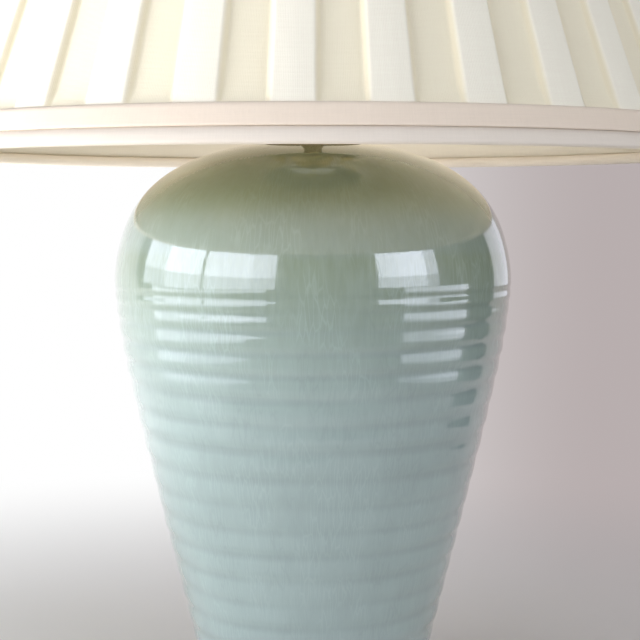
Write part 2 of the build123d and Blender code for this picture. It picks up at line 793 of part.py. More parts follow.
# ---------------------------------------------------------------- write the pieces
pieces = {
    "jar_body": make_jar(),
    "base_felt": make_felt(),
    "cord_grommet": make_grommet(),
    "threaded_rod": make_rod(),
    "bottom_washer": tube(bottom_washer_radius, stack_hole, bottom_washer_z, bottom_washer_thickness),
    "bottom_lock_washer": tube(lock_washer_radius, stack_hole, lock_washer_z, lock_washer_thickness),
    "bottom_nut": hexagon_nut(bottom_nut_z, nut_thickness),
    "vase_cap": make_vase_cap(),
    "check_ring": tube(check_ring_radius, stack_hole, check_ring_z, check_ring_height),
    "neck_spindle": make_neck(),
    "harp_saddle": make_saddle(),
    "saddle_nut": hexagon_nut(saddle_nut_z, saddle_nut_thickness),
    "socket_cap": make_socket_cap(),
    "socket_shell": make_socket_shell(),
    "socket_liner": make_socket_liner(),
    "socket_interior": make_interior(),
    "terminal_screws": make_terminals(),
    "socket_screw_shell": make_screw_shell(),
    "socket_contact": make_contact(),
    "switch_stem": make_switch_stem(),
    "switch_knob": make_switch_knob(),
    "bulb_contact": make_bulb_contact(),
    "bulb_screw_base": make_bulb_base(),
    "bulb_glass": make_bulb_glass(),
    "bulb_filament": make_filament(),
    "harp_bow": make_harp_bow(),
    "harp_sleeve_left": make_sleeve(-1),
    "harp_sleeve_right": make_sleeve(1),
    "swivel_stud": make_swivel_stud(),
    "spider_washer": make_spider_washer(),
    "spider_arms": make_spider_arms(),
    "finial_insert": make_finial_insert(),
    "finial_knob": make_finial_knob(),
    "shade_top_ring": make_ring(ring_top_major, top_ring_z),
    "shade_bottom_ring": make_ring(ring_bottom_major, bottom_ring_z),
    "shade_struts": make_struts(),
    "shade_lining": make_lining(),
    "pleated_cover": make_cover(),
    "lower_binding": make_binding(shade_bottom_z, 1),
    "lower_band": make_band(shade_bottom_z, 1),
    "upper_binding": make_binding(shade_top_z, -1) - make_spider_arms(layer_gap),
    "upper_band": make_band(shade_top_z, -1),
}

for name, shape in pieces.items():
    export_step(shape, f"parts/{name}.step")

print("shade", round(shade_bottom_z, 2), round(shade_top_z, 2), "finial", round(finial_z + finial_height, 2))
print("saddle", round(saddle_top_z, 2), "switch", round(switch_z, 2))
print("bulb", round(bulb_tip_z, 2), round(bulb_top_z, 2))
print("harp crown", round(harp_crown_z, 2), "spider", round(spider_z, 2), "inlet", round(inlet_z, 2))
print("grommet", round(grommet_inner_y, 2), round(grommet_outer_y, 2))
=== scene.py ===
"""Looks of the ginger jar lamp, laid out as a Blender add-on and run as a script.

Metres, +Z up. The origin is the centre of the resting face and -Y is the front. Each operator
makes one piece, or a group of like pieces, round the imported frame.
"""

from math import cos, hypot, pi, radians, sin, tan

import bmesh
import bpy
import numpy as np
from bpy.props import FloatProperty, FloatVectorProperty, IntProperty, PointerProperty
from bpy.types import Operator, Panel, PropertyGroup
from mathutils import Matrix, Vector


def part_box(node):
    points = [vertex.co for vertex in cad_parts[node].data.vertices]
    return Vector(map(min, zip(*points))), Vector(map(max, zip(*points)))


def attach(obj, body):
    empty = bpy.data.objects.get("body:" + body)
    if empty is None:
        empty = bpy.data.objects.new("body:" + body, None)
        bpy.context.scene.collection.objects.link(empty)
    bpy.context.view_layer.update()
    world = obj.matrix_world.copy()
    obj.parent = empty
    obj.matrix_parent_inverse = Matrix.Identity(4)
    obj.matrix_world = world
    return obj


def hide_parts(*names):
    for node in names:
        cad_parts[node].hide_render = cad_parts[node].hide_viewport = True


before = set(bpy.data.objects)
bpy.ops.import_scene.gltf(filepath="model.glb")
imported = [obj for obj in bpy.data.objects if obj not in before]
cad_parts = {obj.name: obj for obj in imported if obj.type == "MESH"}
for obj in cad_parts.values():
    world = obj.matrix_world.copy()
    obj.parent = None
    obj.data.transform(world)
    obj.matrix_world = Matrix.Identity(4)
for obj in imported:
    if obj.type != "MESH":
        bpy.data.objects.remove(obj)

bl_info = {
    "name": "Ginger Jar Lamp",
    "version": (1, 0, 0),
    "blender": (4, 5, 0),
    "location": "3D View > Sidebar > Jar Lamp",
    "description": "Celadon jar lamp with a box-pleated shade, made round its packed frame",
    "category": "Object",
}

# ---------------------------------------------------------------- sizes
# Jar
JAR_RADIUS = 0.113
BELLY_HEIGHT = 0.243            # foot face to the widest level
SHOULDER_RISE = 0.080
SHOULDER_POWER = 2.42           # exponent of the shoulder's superellipse
TAPER_RATIO = 0.25
TAPER_BEND = 0.034
JAR_WALL = 0.006
MOUTH_RADIUS = 0.020
FLOOR_HOLE_RADIUS = 0.0065
FOOT_RECESS = 0.016
FLOOR_THICKNESS = 0.008
FOOT_RING_WIDTH = 0.0102
FOOT_EDGE = 0.0015              # rounding of the standing ring
INLET_HOLE_RADIUS = 0.0047
INLET_SEAT_RADIUS = 0.0062
INLET_SEAT_DEPTH = 0.00155      # seat of the bush's flange
INLET_CUT_IN, INLET_CUT_OUT = 0.006, 0.020      # how far the cutters pass the bush
MOUTH_LIP = 0.0004              # how far the lip steps into the mouth
JAR_COLUMNS, TAPER_ROWS, SHOULDER_ROWS = 256, 226, 70
INSIDE_SHOULDER_ROWS, INSIDE_WALL_ROWS = 28, 24

# Throwing ribs
RIB_CRESTS = (0.2446, 0.2372, 0.2290, 0.2180, 0.2064, 0.1949, 0.1804, 0.1672, 0.1516, 0.1354)
RIB_PITCH = 0.0138              # pitch of the even ribs below those crests
SWELL_DIP = 0.272               # a hollow over the first crest
SWELL_TOP = 0.300               # where the shoulder is even again
SWELL_DEPTH = 0.00045
RIB_CALM = 0.60                 # share of the ribs' steepness left low on the jar
RIB_CALM_LOW, RIB_CALM_HIGH = 0.150, 0.200
RIB_LEAN = 0.35                 # how much longer a rib's upper side is than its lower side
RIB_WANDER = (0.05, 0.03)       # how far a crest strays, in crests, once and twice round the jar
RIB_UNEVEN = (0.18, 0.10)       # shares by which the depth changes, down the jar and round it
PATCHES, PATCH_SHARE = 5, 0.25  # deeper stretches round the jar, and how much deeper
PATCH_TURN = radians(122)
RIB_FADE = 0.010                # the ribs grow over this height above the foot

# Glaze
# Above THICK_BELOW the glaze turns darker and olive: partly thin glaze, partly painted shade under the
# lampshade and a painted reflection of its cream lining.
THICK_BELOW, THIN_AND_SHADED_ABOVE = 0.170, 0.315  # the glaze turns olive between these heights
SHOULDER_FADE = (0.262, 0.305)  # streaks and crackle weaken between these heights
CRACKLE_SQUEEZE = 0.15          # width of a cell of the crackle against its height

# Fittings
SLIP, CLOSE_SLIP = 0.0002, 0.0001       # room round what passes a hole
HEX_CHAMFER = 0.97              # where a nut's chamfer starts, as a share of half its flats
BUSH_WALL = 0.0015
CAP_WALL = 0.001
CAP_SKIRT = 0.0060              # height of the cap's skirt, and how far in its shoulder lies
CAP_FLAT, CAP_CROWN = 0.0125, 0.0006    # how far in its flat top starts, and how much it rises
NECK_WAIST = 0.0060
NECK_BEAD = 0.004
NECK_STEP = 0.0006              # from the bead in to the neck
ROD_WALL = 0.0016
ROD_THREAD = 0.012              # threaded length at each end of the rod
THREAD_PITCH, ROD_THREAD_DEPTH = 0.0254 / 27, 0.00045
BULB_PITCH, BULB_THREAD_DEPTH = 0.0254 / 7, 0.0009
THREAD_RUN_IN = 0.001           # length over which a thread grows
CUP_WALL, CUP_FLARE = 0.0008, 0.0075    # socket cup, and the height over which it widens
SHELL_WALL = 0.0007
SHELL_BEAD, SHELL_BEAD_DROP = 0.0006, 0.008
BASE_WALL, GLASS_WALL = 0.0004, 0.0008
BULB_CHEEK = pi / 5             # angle below the globe's middle where the neck meets it
KNOB_FLUTES, KNOB_FLUTE_DEPTH = 12, 0.0006
KNOB_SKIRT = 0.0022             # plain band at the knob's inner end
FINIAL_FOOT, FINIAL_WAIST, FINIAL_BORE = 0.008, 0.0062, 0.0048

# Harp
HARP_LEG_X = 0.0275
HARP_KNEE = 0.038               # straight wire above the saddle
HARP_FLARE = 0.042
HARP_FLARE_RADIUS = 0.030
HARP_CROWN_RADIUS = 0.040
HARP_WIRE = 0.0019
HARP_EYE_RADIUS, HARP_EYE_BORE, HARP_EYE_HEIGHT = 0.006, 0.0026, 0.005
SLEEVE_WALL, SLEEVE_COLLAR, SLEEVE_SLIP = 0.001, 0.002, 0.00008

# Shade
SHADE_BOTTOM_RADIUS = 0.2285
SHADE_TOP_RADIUS = 0.114
BINDING_THICKNESS = 0.0012
BINDING_HEIGHT = 0.008
BINDING_TURN_IN = 0.006
BAND_HEIGHT = 0.0097
BAND_THICKNESS = 0.001
LAYER_GAP = 0.0003
PLEAT_DEPTH = 0.0034
PLEAT_FRONT = 0.41              # share of a pleat's period
PLEAT_FOLD = 0.085
PLEAT_TURN = radians(-1.95)
PLEAT_CROWN = 0.00035           # how far a front bulges between its folds
PLEAT_SLACK = 0.0006            # how far a recess hangs in, half way up
PRESSED_HEIGHT = 0.0150         # the bands press the pleats flatter up to this distance from a rim
PRESSED_EASE = 0.0070           # and the pleats open again over this one
PRESSED_SHARE = 0.35
CLOTH = 0.0008
RING_WIRE = 0.0016
STRUT_WIRE = 0.0012
STRUTS = 6
SPIDER_WIRE = 0.002
SPIDER_BEND = 0.028
SPIDER_ARMS = 3
SPIDER_BORE = 0.00335

# Stage
FLOOR_GAP = 0.0002              # the floor lies this far under the felt
TABLE_FRONT, TABLE_EDGE_DROP = -0.42, -0.04
WALL_DISTANCE, WALL_TOP, HALF_ROOM, WALL_BEND = 3.4, 3.2, 6.0, 0.8
FLAG_DISTANCE, FLAG_HEIGHT = 0.6, 0.8
WINDOW_DISTANCE, CARD_DISTANCE, SIDE_WALL_DISTANCE = 3.0, 0.8, 3.2
# Each pane: from and to azimuth, counted from the front, and share of its window's brightness.
LEFT_PANES = ((-109, -90, 0.55), (-90, -64, 1.0), (-62, -33, 1.0), (-33, -20, 0.8))
RIGHT_PANES = ((36, 48, 0.85), (48, 66, 1.0), (66, 74, 0.55))
# Bands of light: bottom, top and share of the brightness. It fades towards the floor.
PANE_BANDS = ((0.62, 1.50, 1.0), (0.22, 0.62, 0.6))
# The cards' bands have the azimuth of the left card's near end as well.
CARD_BANDS = ((0.160, 0.235, 1.0, -24), (0.085, 0.160, 0.6, -36), (0.0, 0.085, 0.3, -45))
FILLS = ((225, 1.9), (140, 2.2), (80, 0.9))     # azimuth from +X and share of each light in the shade
FILL_RADIUS, FILL_HEIGHT, FILL_COLOUR = 0.150, 0.375, (1.0, 0.90, 0.74)
CAMERA_LENS, CAMERA_SENSOR, CAMERA_TILT = 82.8, 36.0, radians(85.43)
CAMERA_PLACE = (0.00404, -0.850, 0.290)


# ---------------------------------------------------------------- places taken from the frame
def low(node):
    return float(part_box(node)[0][2])


def high(node):
    return float(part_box(node)[1][2])


def half_width(node):
    return float(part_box(node)[1][0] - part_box(node)[0][0]) / 2


foot_z = low("jar_body")
belly_z = foot_z + BELLY_HEIGHT
floor_z = foot_z + FOOT_RECESS
shade_low = low("lower_binding")
shade_high = high("upper_binding")
shade_lean = (SHADE_BOTTOM_RADIUS - SHADE_TOP_RADIUS) / (shade_high - shade_low)
cover_front = BINDING_THICKNESS + LAYER_GAP
cover_inner = cover_front + PLEAT_DEPTH + CLOTH
wire_offset = cover_inner + LAYER_GAP + RING_WIRE
lining_outer = wire_offset + RING_WIRE + LAYER_GAP
rim_width = lining_outer + CLOTH + LAYER_GAP + BINDING_THICKNESS


# ---------------------------------------------------------------- surfaces
def ramp(value, start, end):
    """How far a value lies from a start to an end, held at 0 and 1."""
    return np.clip((value - start) / (end - start), 0, 1)


def smooth(share):
    """Eases a share at both ends: s^2 (3 - 2 s)."""
    return share**2 * (3 - 2 * share)


def eased(corners, radius, steps=6, loop=False):
    """A polyline whose corners are rounded by circular arcs of a radius.

    The arc at corner c, between points a and b on its two sides, is
    ((1-t)^2 a + 2wt(1-t) c + t^2 b) / ((1-t)^2 + 2wt(1-t) + t^2), where w is the cosine of half
    the turn there. An open polyline keeps its two ends.
    """
    corners = np.asarray(corners, float)
    back = np.roll(corners, 1, axis=0) - corners
    ahead = np.roll(corners, -1, axis=0) - corners
    back_length = np.maximum(np.linalg.norm(back, axis=1), 1e-12)
    ahead_length = np.maximum(np.linalg.norm(ahead, axis=1), 1e-12)
    back, ahead = back / back_length[:, None], ahead / ahead_length[:, None]
    half_turn = np.arccos(np.clip(-(back * ahead).sum(1), -1, 1)) / 2
    reach = np.broadcast_to(radius, len(corners)) * np.tan(half_turn)
    reach = np.minimum(reach, 0.499 * np.minimum(back_length, ahead_length))
    if not loop:
        reach[[0, -1]] = 0
    t = np.linspace(0, 1, steps)[None, :, None]
    weight = np.cos(half_turn)[:, None, None]
    first, middle, last = (1 - t) ** 2, 2 * weight * t * (1 - t), t**2
    a, b = corners + back * reach[:, None], corners + ahead * reach[:, None]
    arcs = (first * a[:, None] + middle * corners[:, None] + last * b[:, None]) / (first + middle + last)
    points = arcs.reshape(-1, corners.shape[1])
    apart = np.linalg.norm(np.diff(points, axis=0, prepend=points[-1:] if loop else points[:1] + 1), axis=1)
    return points[apart > 1e-8]


def turned(profile, columns=96, ripple=0.0):
    """A profile of (radius, height) pairs turned round Z: x = (r + ripple) cos a, y = (r + ripple) sin a."""
    angle = np.linspace(0, 2 * pi, columns, endpoint=False)
    radius, height = np.asarray(profile, float).T
    reach = radius[:, None] + ripple + 0 * angle
    return np.stack([reach * np.cos(angle), reach * np.sin(angle), height[:, None] + 0 * reach], axis=-1)


def tube(path, radius, sides=16, across=(0, 1, 0)):
    """A round wire: at each point p of the path, p + r (cos a n + sin a b), with a closed end at each
    end of the path. n is square to the path and to `across`, and b to the path and n."""
    path = np.asarray(path, float)
    along = np.gradient(path, axis=0)
    along /= np.linalg.norm(along, axis=1)[:, None]
    side = np.cross(np.broadcast_to(across, along.shape), along)
    side /= np.linalg.norm(side, axis=1)[:, None]
    other = np.cross(along, side)
    angle = np.linspace(0, 2 * pi, sides, endpoint=False)[None, :, None]
    skin = path[:, None] + radius * (np.cos(angle) * side[:, None] + np.sin(angle) * other[:, None])
    ends = [np.repeat(path[place][None, None], sides, axis=1) for place in (0, -1)]
    return np.concatenate([ends[0], skin, ends[1]])


def facing(points, direction, z):
    """A piece turned round Z laid down so that its +Z points along Y (1) or -Y (-1), at a height."""
    x, y, h = np.moveaxis(points, -1, 0)
    return np.stack([x, direction * h, z - direction * y], axis=-1)


def spun(points, turn):
    """Points turned round Z by an angle."""
    x, y, z = np.moveaxis(points, -1, 0)
    return np.stack([x * cos(turn) - y * sin(turn), x * sin(turn) + y * cos(turn), z], axis=-1)


def lengths(points, axis, loop):
    """Distance along one direction of a grid, averaged over the other and starting at 0."""
    step = np.diff(points, axis=axis)
    if loop:
        first, last = np.take(points, [0], axis), np.take(points, [-1], axis)
        step = np.concatenate([step, first - last], axis=axis)
    mean = np.linalg.norm(step, axis=-1).mean(axis=1 - axis)
    return np.concatenate([[0], np.cumsum(mean)])


def build(name, grids, loop_rows=True, loop_columns=True, sharp=40):
    """A mesh of quads on one or more grids of points, whose rows and columns may close on
    themselves. Its UV map is the distance in metres along the columns and rows."""
    vertices, faces, maps, first = [], [], [], 0
    for points in grids:
        rows, columns = points.shape[:2]
        down, across = np.arange(rows - 1 + loop_rows), np.arange(columns - 1 + loop_columns)
        i, j = np.meshgrid(down, across, indexing="ij")
        i2, j2 = (i + 1) % rows, (j + 1) % columns
        corners = [(i, j), (i, j2), (i2, j2), (i2, j)]
        faces.append(first + np.stack([a * columns + b for a, b in corners], axis=-1).reshape(-1, 4))
        u, v = lengths(points, 1, loop_columns), lengths(points, 0, loop_rows)
        spots = [(i, j), (i, j + 1), (i + 1, j + 1), (i + 1, j)]
        maps.append(np.stack([np.stack([u[b], v[a]], axis=-1) for a, b in spots], axis=-2).reshape(-1, 2))
        vertices.append(points.reshape(-1, 3))
        first += rows * columns
    mesh = bpy.data.meshes.new(name)
    mesh.from_pydata(np.concatenate(vertices).tolist(), [], np.concatenate(faces).tolist())
    mesh.uv_layers.new(name="cloth").data.foreach_set("uv", np.concatenate(maps).ravel())
    merge_doubles(mesh)
    mesh.polygons.foreach_set("use_smooth", np.ones(len(mesh.polygons), bool))
    mesh.set_sharp_from_angle(angle=radians(sharp))
    piece = bpy.data.objects.new(name, mesh)
    bpy.context.scene.collection.objects.link(piece)
    return piece


def merge_doubles(mesh):
    """Closes poles and seams by merging points that lie on each other."""
    work = bmesh.new()
    work.from_mesh(mesh)
    bmesh.ops.remove_doubles(work, verts=work.verts, dist=1e-7)
    work.to_mesh(mesh)
    work.free()


def cut(piece, cutters):
    """Cuts closed pieces out of a piece, applies that and removes them."""
    for cutter in cutters:
        boolean = piece.modifiers.new("cut", "BOOLEAN")
        boolean.operation, boolean.solver, boolean.object = "DIFFERENCE", "EXACT", cutter
    graph = bpy.context.evaluated_depsgraph_get()
    mesh = bpy.data.meshes.new_from_object(piece.evaluated_get(graph), depsgraph=graph)
    piece.modifiers.clear()
    piece.data = mesh
    for cutter in cutters:
        bpy.data.objects.remove(cutter)


def thicken(piece, thickness):
    """Gives a sheet its thickness, inwards from its outer face."""
    solid = piece.modifiers.new("thickness", "SOLIDIFY")
    solid.thickness, solid.offset = thickness, -1.0
    solid.use_even_offset = True


def place(piece, body, material, slot, *nodes):
    """Rides a finished piece on its body, in place of CAD nodes, with a material. The slot is not used."""
    piece.data.materials.clear()
    piece.data.materials.append(material)
    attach(piece, body)
    if nodes:
        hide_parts(*nodes)
    return piece


def fit(name, grids, body, finish, *nodes, **shape):
    """Builds a piece in a hard finish and rides it on its body."""
    return place(build(name, grids, **shape), body, hard(finish), finish, *nodes)


def dress(material, *nodes):
    """Gives CAD nodes a better material in their own slots."""
    for name in nodes:
        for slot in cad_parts[name].material_slots:
            slot.material = material


# ---------------------------------------------------------------- materials
class Finish:
    """A material's nodes. Each call to add makes one node from its settings and inputs."""

    def __init__(self, name, **shader):
        self.material = bpy.data.materials.new(name)
        self.material.use_nodes = True
        self.tree = self.material.node_tree
        self.tree.nodes.clear()
        self.shader = self.add("ShaderNodeBsdfPrincipled", **shader)
        output = self.tree.nodes.new("ShaderNodeOutputMaterial")
        self.tree.links.new(self.shader.outputs[0], output.inputs["Surface"])
        self.coordinates = self.tree.nodes.new("ShaderNodeTexCoord")

    def add(self, kind, settings=None, **inputs):
        """One node, with its settings and its inputs set or linked."""
        made = self.tree.nodes.new(kind)
        for key, value in (settings or {}).items():
            setattr(made, key, value)
        for key, value in inputs.items():
            self.feed(made, key, value)
        return made

    def feed(self, made, key, value):
        """Sets or links one input, named with underscores, or numbered as in_0."""
        key = int(key[3:]) if key.startswith("in_") else key.replace("_", " ")
        if isinstance(value, bpy.types.NodeSocket):
            self.tree.links.new(value, made.inputs[key])
        else:
            made.inputs[key].default_value = value

    def stretched(self, source, stretch):
        """One kind of coordinates, scaled along each axis."""
        source = self.coordinates.outputs[source]
        return self.add("ShaderNodeMapping", Vector=source, Scale=stretch).outputs[0]

    def object_space(self, stretch=(1, 1, 1)):
        """Object coordinates, in metres."""
        return self.stretched("Object", stretch)

    def cloth_space(self, stretch=(1, 1, 1)):
        """The piece's own UV map, in metres."""
        return self.stretched("UV", stretch)

    def vector(self, operation, first, **inputs):
        """A vector worked out from another one."""
        return self.add("ShaderNodeVectorMath", {"operation": operation}, in_0=first, **inputs).outputs[0]

    def noise(self, space, scale, detail=3.0, roughness=0.5):
        made = self.add("ShaderNodeTexNoise", Vector=space, Scale=scale, Detail=detail, Roughness=roughness)
        return made.outputs["Fac"]

    def math(self, operation, first, second=0.0):
        return self.add("ShaderNodeMath", {"operation": operation}, in_0=first, in_1=second).outputs[0]

    def between(self, value, start, end, to_start=0.0, to_end=1.0):
        """Maps a range of values to another, smoothly, and holds it at both ends."""
        made = self.add("ShaderNodeMapRange", {"interpolation_type": "SMOOTHSTEP"}, Value=value)
        for key, number in (("From Min", start), ("From Max", end), ("To Min", to_start), ("To Max", to_end)):
            made.inputs[key].default_value = number
        return made.outputs[0]

    def mix(self, share, first, second, blend="MIX"):
        """Colour between two colours."""
        made = self.tree.nodes.new("ShaderNodeMix")
        made.data_type, made.blend_type = "RGBA", blend
        self.feed(made, "in_0", share)
        self.feed(made, "in_6", first)
        self.feed(made, "in_7", second)
        return made.outputs[2]

    def bump(self, height, distance, strength=1.0, over=None):
        made = self.add("ShaderNodeBump", Height=height, Distance=distance, Strength=strength)
        if over is not None:
            self.feed(made, "Normal", over)
        return made.outputs[0]

    def wear(self, **inputs):
        """Feeds the shader and hands back the finished material."""
        for key, value in inputs.items():
            self.feed(self.shader, key, value)
        return self.material


def shade_of(colour, factor):
    """A colour made lighter or darker, as RGBA."""
    return (*[min(1.0, channel * factor) for channel in colour[:3]], 1.0)


def celadon_glaze(thick, thin, crackle_size, crackle_depth):
    """Glossy celadon: bluish where it ran thick, and olive and darker on the shoulder, partly where it
    lies thin and partly as painted shade under the lampshade and a painted reflection of its cream
    lining. It is cloudy, pooled darker in the grooves, over a fine upright crackle of light lines and
    dark ones. The crackle's cells are measured round the jar, so they keep their width as it tapers."""
    finish = Finish("celadon_glaze", IOR=1.5, Coat_Weight=1.0, Coat_Roughness=0.035, Coat_IOR=1.5)
    space = finish.object_space()
    turn = finish.vector("NORMALIZE", finish.object_space((1, 1, 0)))
    turn = finish.vector("SCALE", turn, Scale=JAR_RADIUS)
    upright = finish.vector("ADD", turn, in_1=finish.object_space((0, 0, CRACKLE_SQUEEZE)))
    clouds = finish.between(finish.noise(space, 14, 4), 0.35, 0.68)
    streaks = finish.noise(finish.object_space((1, 1, 0.12)), 260, 3, 0.6)
    height = finish.add("ShaderNodeSeparateXYZ", Vector=space).outputs[2]
    height = finish.math("ADD", height, finish.math("MULTIPLY", finish.noise(space, 30, 3), 0.01))
    # The shoulder colour is partly thin glaze and partly painted shade under the lampshade and a painted
    # reflection of its cream lining.
    glaze_here = finish.mix(finish.between(height, THICK_BELOW, THIN_AND_SHADED_ABOVE), (*thick, 1), (*thin, 1))
    colour = finish.mix(finish.math("MULTIPLY", clouds, 0.07), glaze_here, (0, 0, 0, 1))
    streaks = finish.math("MULTIPLY", finish.between(streaks, 0.3, 0.7, 0.0, 0.12),
                          finish.between(height, *SHOULDER_FADE, 1.0, 0.25))
    colour = finish.mix(streaks, colour, shade_of(thick, 1.25))
    pooled = finish.add("ShaderNodeAttribute", {"attribute_name": "pooling"}).outputs["Fac"]
    colour = finish.mix(finish.between(pooled, 0.0, 1.0, 0.0, 0.5), colour, shade_of(thick, 0.80))
    bent = finish.add("ShaderNodeTexNoise", Vector=finish.object_space((1, 1, 0.5)), Scale=110.0, Detail=2.0)
    bent = finish.vector("SCALE", bent.outputs["Color"], Scale=crackle_size)
    bent = finish.vector("ADD", upright, in_1=bent)
    cells = finish.add("ShaderNodeTexVoronoi", {"feature": "DISTANCE_TO_EDGE"}, Vector=bent,
                       Scale=1 / crackle_size, Randomness=1.0).outputs["Distance"]
    lines = finish.math("MULTIPLY", finish.between(cells, 0.0, 0.13, 1.0, 0.0),
                        finish.between(height, *SHOULDER_FADE, 1.0, 0.3))
    patchy = finish.noise(finish.object_space((1, 1, 0.6)), 38, 2)
    light_lines = finish.math("MULTIPLY", lines, finish.between(patchy, 0.42, 0.62, 0.0, crackle_depth))
    dark_lines = finish.math("MULTIPLY", lines, finish.between(patchy, 0.38, 0.58, 1.4 * crackle_depth, 0.0))
    colour = finish.mix(light_lines, colour, shade_of(thick, 1.7))
    colour = finish.mix(dark_lines, colour, shade_of(thick, 0.55))
    rough = finish.between(finish.noise(space, 90, 3), 0.3, 0.7, 0.06, 0.10)
    peel = finish.bump(finish.noise(space, 220, 2), 0.00002)
    return finish.wear(Base_Color=colour, Roughness=rough, Normal=finish.bump(lines, 0.00003, 0.4, peel))


def woven_cloth(name, colour, thread, slub=0.5, sheen=0.15, roughness=0.85, creases=0.0, fold_shade=None):
    """Plain weave on the piece's own map: height = |sin(pi u/p) sin(pi v/p)|, with uneven threads and
    painted shade in the weave's hollows, and a second colour of painted shade, warm and yellow, where
    the piece's own attribute says it lies deep between the pleats."""
    finish = Finish(name, Sheen_Weight=sheen, Sheen_Roughness=0.5, Specular_IOR_Level=0.25)
    flat = finish.cloth_space()
    parts = finish.add("ShaderNodeSeparateXYZ", Vector=flat).outputs
    across = finish.math("ABSOLUTE", finish.math("SINE", finish.math("MULTIPLY", parts[0], pi / thread)))
    along = finish.math("ABSOLUTE", finish.math("SINE", finish.math("MULTIPLY", parts[1], pi / thread)))
    weave = finish.math("MULTIPLY", across, along)
    warp = finish.noise(finish.cloth_space((1, 0.04, 1)), 0.7 / thread, 2, 0.6)
    weft = finish.noise(finish.cloth_space((0.04, 1, 1)), 0.7 / thread, 2, 0.6)
    threads = finish.math("ADD", warp, weft)
    tone = finish.mix(finish.between(threads, 0.6, 1.4), shade_of(colour, 0.97), shade_of(colour, 1.02))
    tone = finish.mix(finish.between(finish.noise(finish.object_space(), 9, 3), 0.3, 0.7, 0.0, 0.5),
                      tone, shade_of(colour, 0.97))
    # Painted shade: the cloth is darker in the hollows of its weave.
    tone = finish.mix(finish.between(weave, 0.0, 0.35, 0.22, 0.0), tone, shade_of(colour, 0.78))
    if fold_shade is not None:
        # Painted shade: a warm, darker, yellower colour deep between the pleats, on the folds and in the
        # recesses.
        fold_shade_share = finish.add("ShaderNodeAttribute", {"attribute_name": "fold_shade_share"}).outputs["Fac"]
        tone = finish.mix(fold_shade_share, tone, (*fold_shade, 1))
    surface = finish.math("ADD", weave, finish.math("MULTIPLY", threads, slub))
    normal = finish.bump(surface, 0.25 * thread, 0.5)
    if creases:
        folds = finish.noise(finish.cloth_space((1, 0.15, 1)), 60, 2, 0.5)
        normal = finish.bump(folds, creases, 1.0, normal)
    return finish.wear(Base_Color=tone, Roughness=roughness, Normal=normal)


def hard_finish(name, colour, second, metallic=0.0, roughness=(0.3, 0.45), grain=120, blotch=30,
                stretch=(1, 1, 1), depth=0.00002, **shader):
    """Metal, enamel, plastic or paper: two tones in blotches, uneven roughness and a fine grain."""
    finish = Finish(name, Metallic=metallic, **shader)
    space = finish.object_space(stretch)
    blotches = finish.between(finish.noise(finish.object_space(), blotch, 5, 0.6), 0.38, 0.66)
    fine = finish.noise(space, grain, 3, 0.6)
    tone = finish.mix(blotches, (*colour, 1), (*second, 1))
    tone = finish.mix(finish.between(fine, 0.3, 0.75, 0.0, 0.35), tone, shade_of(second, 0.8))
    rough = finish.between(finish.math("MULTIPLY", blotches, fine), 0.0, 0.6, *roughness)
    return finish.wear(Base_Color=tone, Roughness=rough, Normal=finish.bump(fine, depth))


def clear_glass(name):
    """Clear blown glass with the faintest unevenness."""
    finish = Finish(name, Transmission_Weight=1.0, IOR=1.5, Base_Color=(0.97, 0.98, 0.98, 1))
    space = finish.object_space()
    rough = finish.between(finish.noise(space, 40, 2), 0.3, 0.7, 0.0, 0.03)
    return finish.wear(Roughness=rough, Normal=finish.bump(finish.noise(space, 25, 1), 0.00005))


METAL = {
    "antique_brass": dict(colour=(0.26, 0.21, 0.11), second=(0.115, 0.096, 0.056), metallic=1.0,
                          roughness=(0.24, 0.46), grain=260, blotch=70),
    "brass": dict(colour=(0.80, 0.58, 0.27), second=(0.62, 0.43, 0.19), metallic=1.0,
                  roughness=(0.16, 0.34), grain=300, blotch=60),
    "zinc_steel": dict(colour=(0.62, 0.62, 0.58), second=(0.46, 0.47, 0.46), metallic=1.0,
                       roughness=(0.28, 0.48), grain=350, blotch=90),
    "aluminium_shell": dict(colour=(0.78, 0.78, 0.76), second=(0.62, 0.62, 0.61), metallic=1.0,
                            roughness=(0.25, 0.42), grain=350, blotch=90),
    "solder": dict(colour=(0.60, 0.60, 0.60), second=(0.30, 0.29, 0.28), metallic=0.9,
                   roughness=(0.35, 0.6), grain=500, blotch=200),
    "filament_metal": dict(colour=(0.55, 0.54, 0.52), second=(0.38, 0.37, 0.36), metallic=1.0,
                           roughness=(0.25, 0.4), grain=600, blotch=300),
    "frame_enamel": dict(colour=(0.80, 0.77, 0.68), second=(0.72, 0.68, 0.58), roughness=(0.32, 0.5),
                         grain=400, blotch=60, Coat_Weight=0.3, Coat_Roughness=0.2),
    "fish_paper": dict(colour=(0.20, 0.20, 0.19), second=(0.13, 0.13, 0.125), roughness=(0.7, 0.85),
                       grain=900, blotch=150, stretch=(1, 1, 0.3), depth=0.00005),
    "phenolic": dict(colour=(0.045, 0.030, 0.024), second=(0.070, 0.050, 0.040), roughness=(0.35, 0.5),
                     grain=700, blotch=200),
    "knob_plastic": dict(colour=(0.030, 0.026, 0.023), second=(0.045, 0.038, 0.033), roughness=(0.28, 0.42),
                         grain=600, blotch=150),
    "black_rubber": dict(colour=(0.025, 0.025, 0.025), second=(0.045, 0.044, 0.043), roughness=(0.6, 0.8),
                         grain=900, blotch=200),
    "felt": dict(colour=(0.075, 0.115, 0.085), second=(0.045, 0.075, 0.055), roughness=(0.9, 1.0),
                 grain=1400, blotch=300, depth=0.0004, Sheen_Weight=0.4, Sheen_Roughness=0.6),
}


def hard(name):
    """The hard finish of that name, made once."""
    return bpy.data.materials.get(name) or hard_finish(name, **METAL[name])


